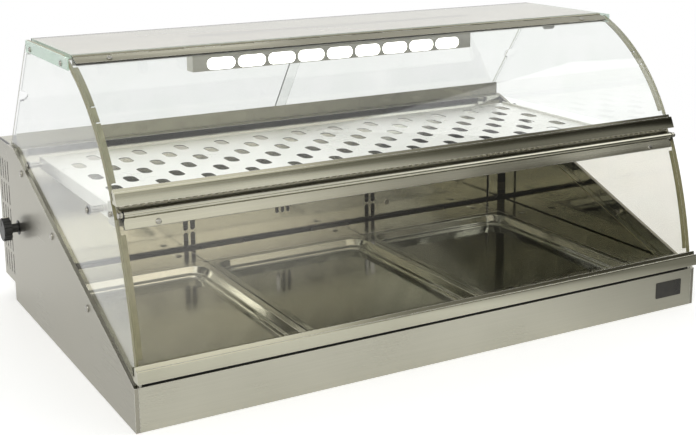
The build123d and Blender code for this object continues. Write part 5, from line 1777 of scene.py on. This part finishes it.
    def build_world(self) -> None:
        """Make surroundings that are white to the eye and softer as a light."""
        world = bpy.data.worlds.new("studio")
        bpy.context.scene.world = world
        world.use_nodes = True
        tree = world.node_tree
        tree.nodes.clear()
        plain = linear("FFFFFF")
        soft = add_node(tree, "Background", inputs={"Color": plain, "Strength": self.sky})
        white = add_node(tree, "Background", inputs={"Color": plain, "Strength": 1.0})
        mixed = add_node(
            tree, "MixShader", inputs={0: self.seen(tree), 1: soft.outputs[0], 2: white.outputs[0]}
        )
        room = add_node(tree, "Background", inputs={"Color": self.room(tree), "Strength": 1.0})
        path = add_node(tree, "LightPath")
        mirrored = add_node(
            tree,
            "MixShader",
            inputs={0: path.outputs["Is Glossy Ray"], 1: mixed.outputs[0], 2: room.outputs[0]},
        )
        add_node(tree, "OutputWorld", inputs={"Surface": mirrored.outputs[0]})

    def room(self, tree: bpy.types.NodeTree) -> bpy.types.NodeSocket:
        """Shade the room that metal mirrors: white backdrop and soft box, greyer in front.

        Args:
            tree: Node tree that gets the nodes.

        Returns:
            The room's colour in each direction.
        """
        way = add_node(tree, "TexCoord").outputs["Generated"]
        parts = add_node(tree, "SeparateXYZ", inputs={0: way})
        fades = [(1, self.ahead_fade), (2, self.top_fade), (0, self.side_fade), (2, self.rise_fade)]
        front, under, side, rise = (
            add_node(
                tree,
                "MapRange",
                inputs={"Value": parts.outputs[axis], "From Min": start, "From Max": end},
            ).outputs[0]
            for axis, (start, end) in fades
        )
        both = add_node(tree, "Math", {"operation": "MULTIPLY"}, {0: front, 1: under})
        low_tone, high_tone = (
            add_node(tree, "ValToRGB", inputs={"Fac": side}, stops=stops).outputs[0]
            for stops in (self.low_stops, self.high_stops)
        )
        high = add_node(
            tree,
            "VectorMath",
            {"operation": "SCALE"},
            {0: high_tone, "Scale": self.high_gain},
        )
        dim = add_node(
            tree,
            "Mix",
            {"data_type": "RGBA"},
            {"Factor": rise, "A": low_tone, "B": high.outputs[0]},
        )
        tone = add_node(
            tree,
            "Mix",
            {"data_type": "RGBA"},
            {"Factor": both.outputs[0], "A": linear("FFFFFF"), "B": dim.outputs["Result"]},
        )
        return tone.outputs["Result"]

    def build_lamp(self, name: str, place: Vector, size: float, power: float) -> None:
        """Make one square soft lamp that faces the case.

        Args:
            name: Name of the lamp.
            place: Where it stands, in metres.
            size: Side of its square, in metres.
            power: Its power, in watts.
        """
        data = bpy.data.lights.new(name, "AREA")
        data.size = size
        data.energy = power
        lamp = bpy.data.objects.new(name, data)
        bpy.context.collection.objects.link(lamp)
        lamp.location = place
        way = Vector((0, 0, self.aim_height)) - place
        lamp.rotation_euler = way.to_track_quat("-Z", "Y").to_euler()


def main() -> None:
    """Build the whole scene in order."""
    view = bpy.context.scene.view_settings
    view.view_transform = "Standard"
    Viewpoint().build()
    Studio().build()
    shop = {key: finish.build() for key, finish in FINISHES.items()}
    groups = (
        Cabinet,
        PanRow,
        Canopy,
        LampCase,
        Crossing,
        ShelfRack,
        UpperFlap,
        LowerFlap,
        RearDoors,
        Machinery,
        Controls,
    )
    for group in groups:
        group(shop).build()


if __name__ == "__main__":
    logging.basicConfig(level=logging.INFO, format="%(message)s")
    main()
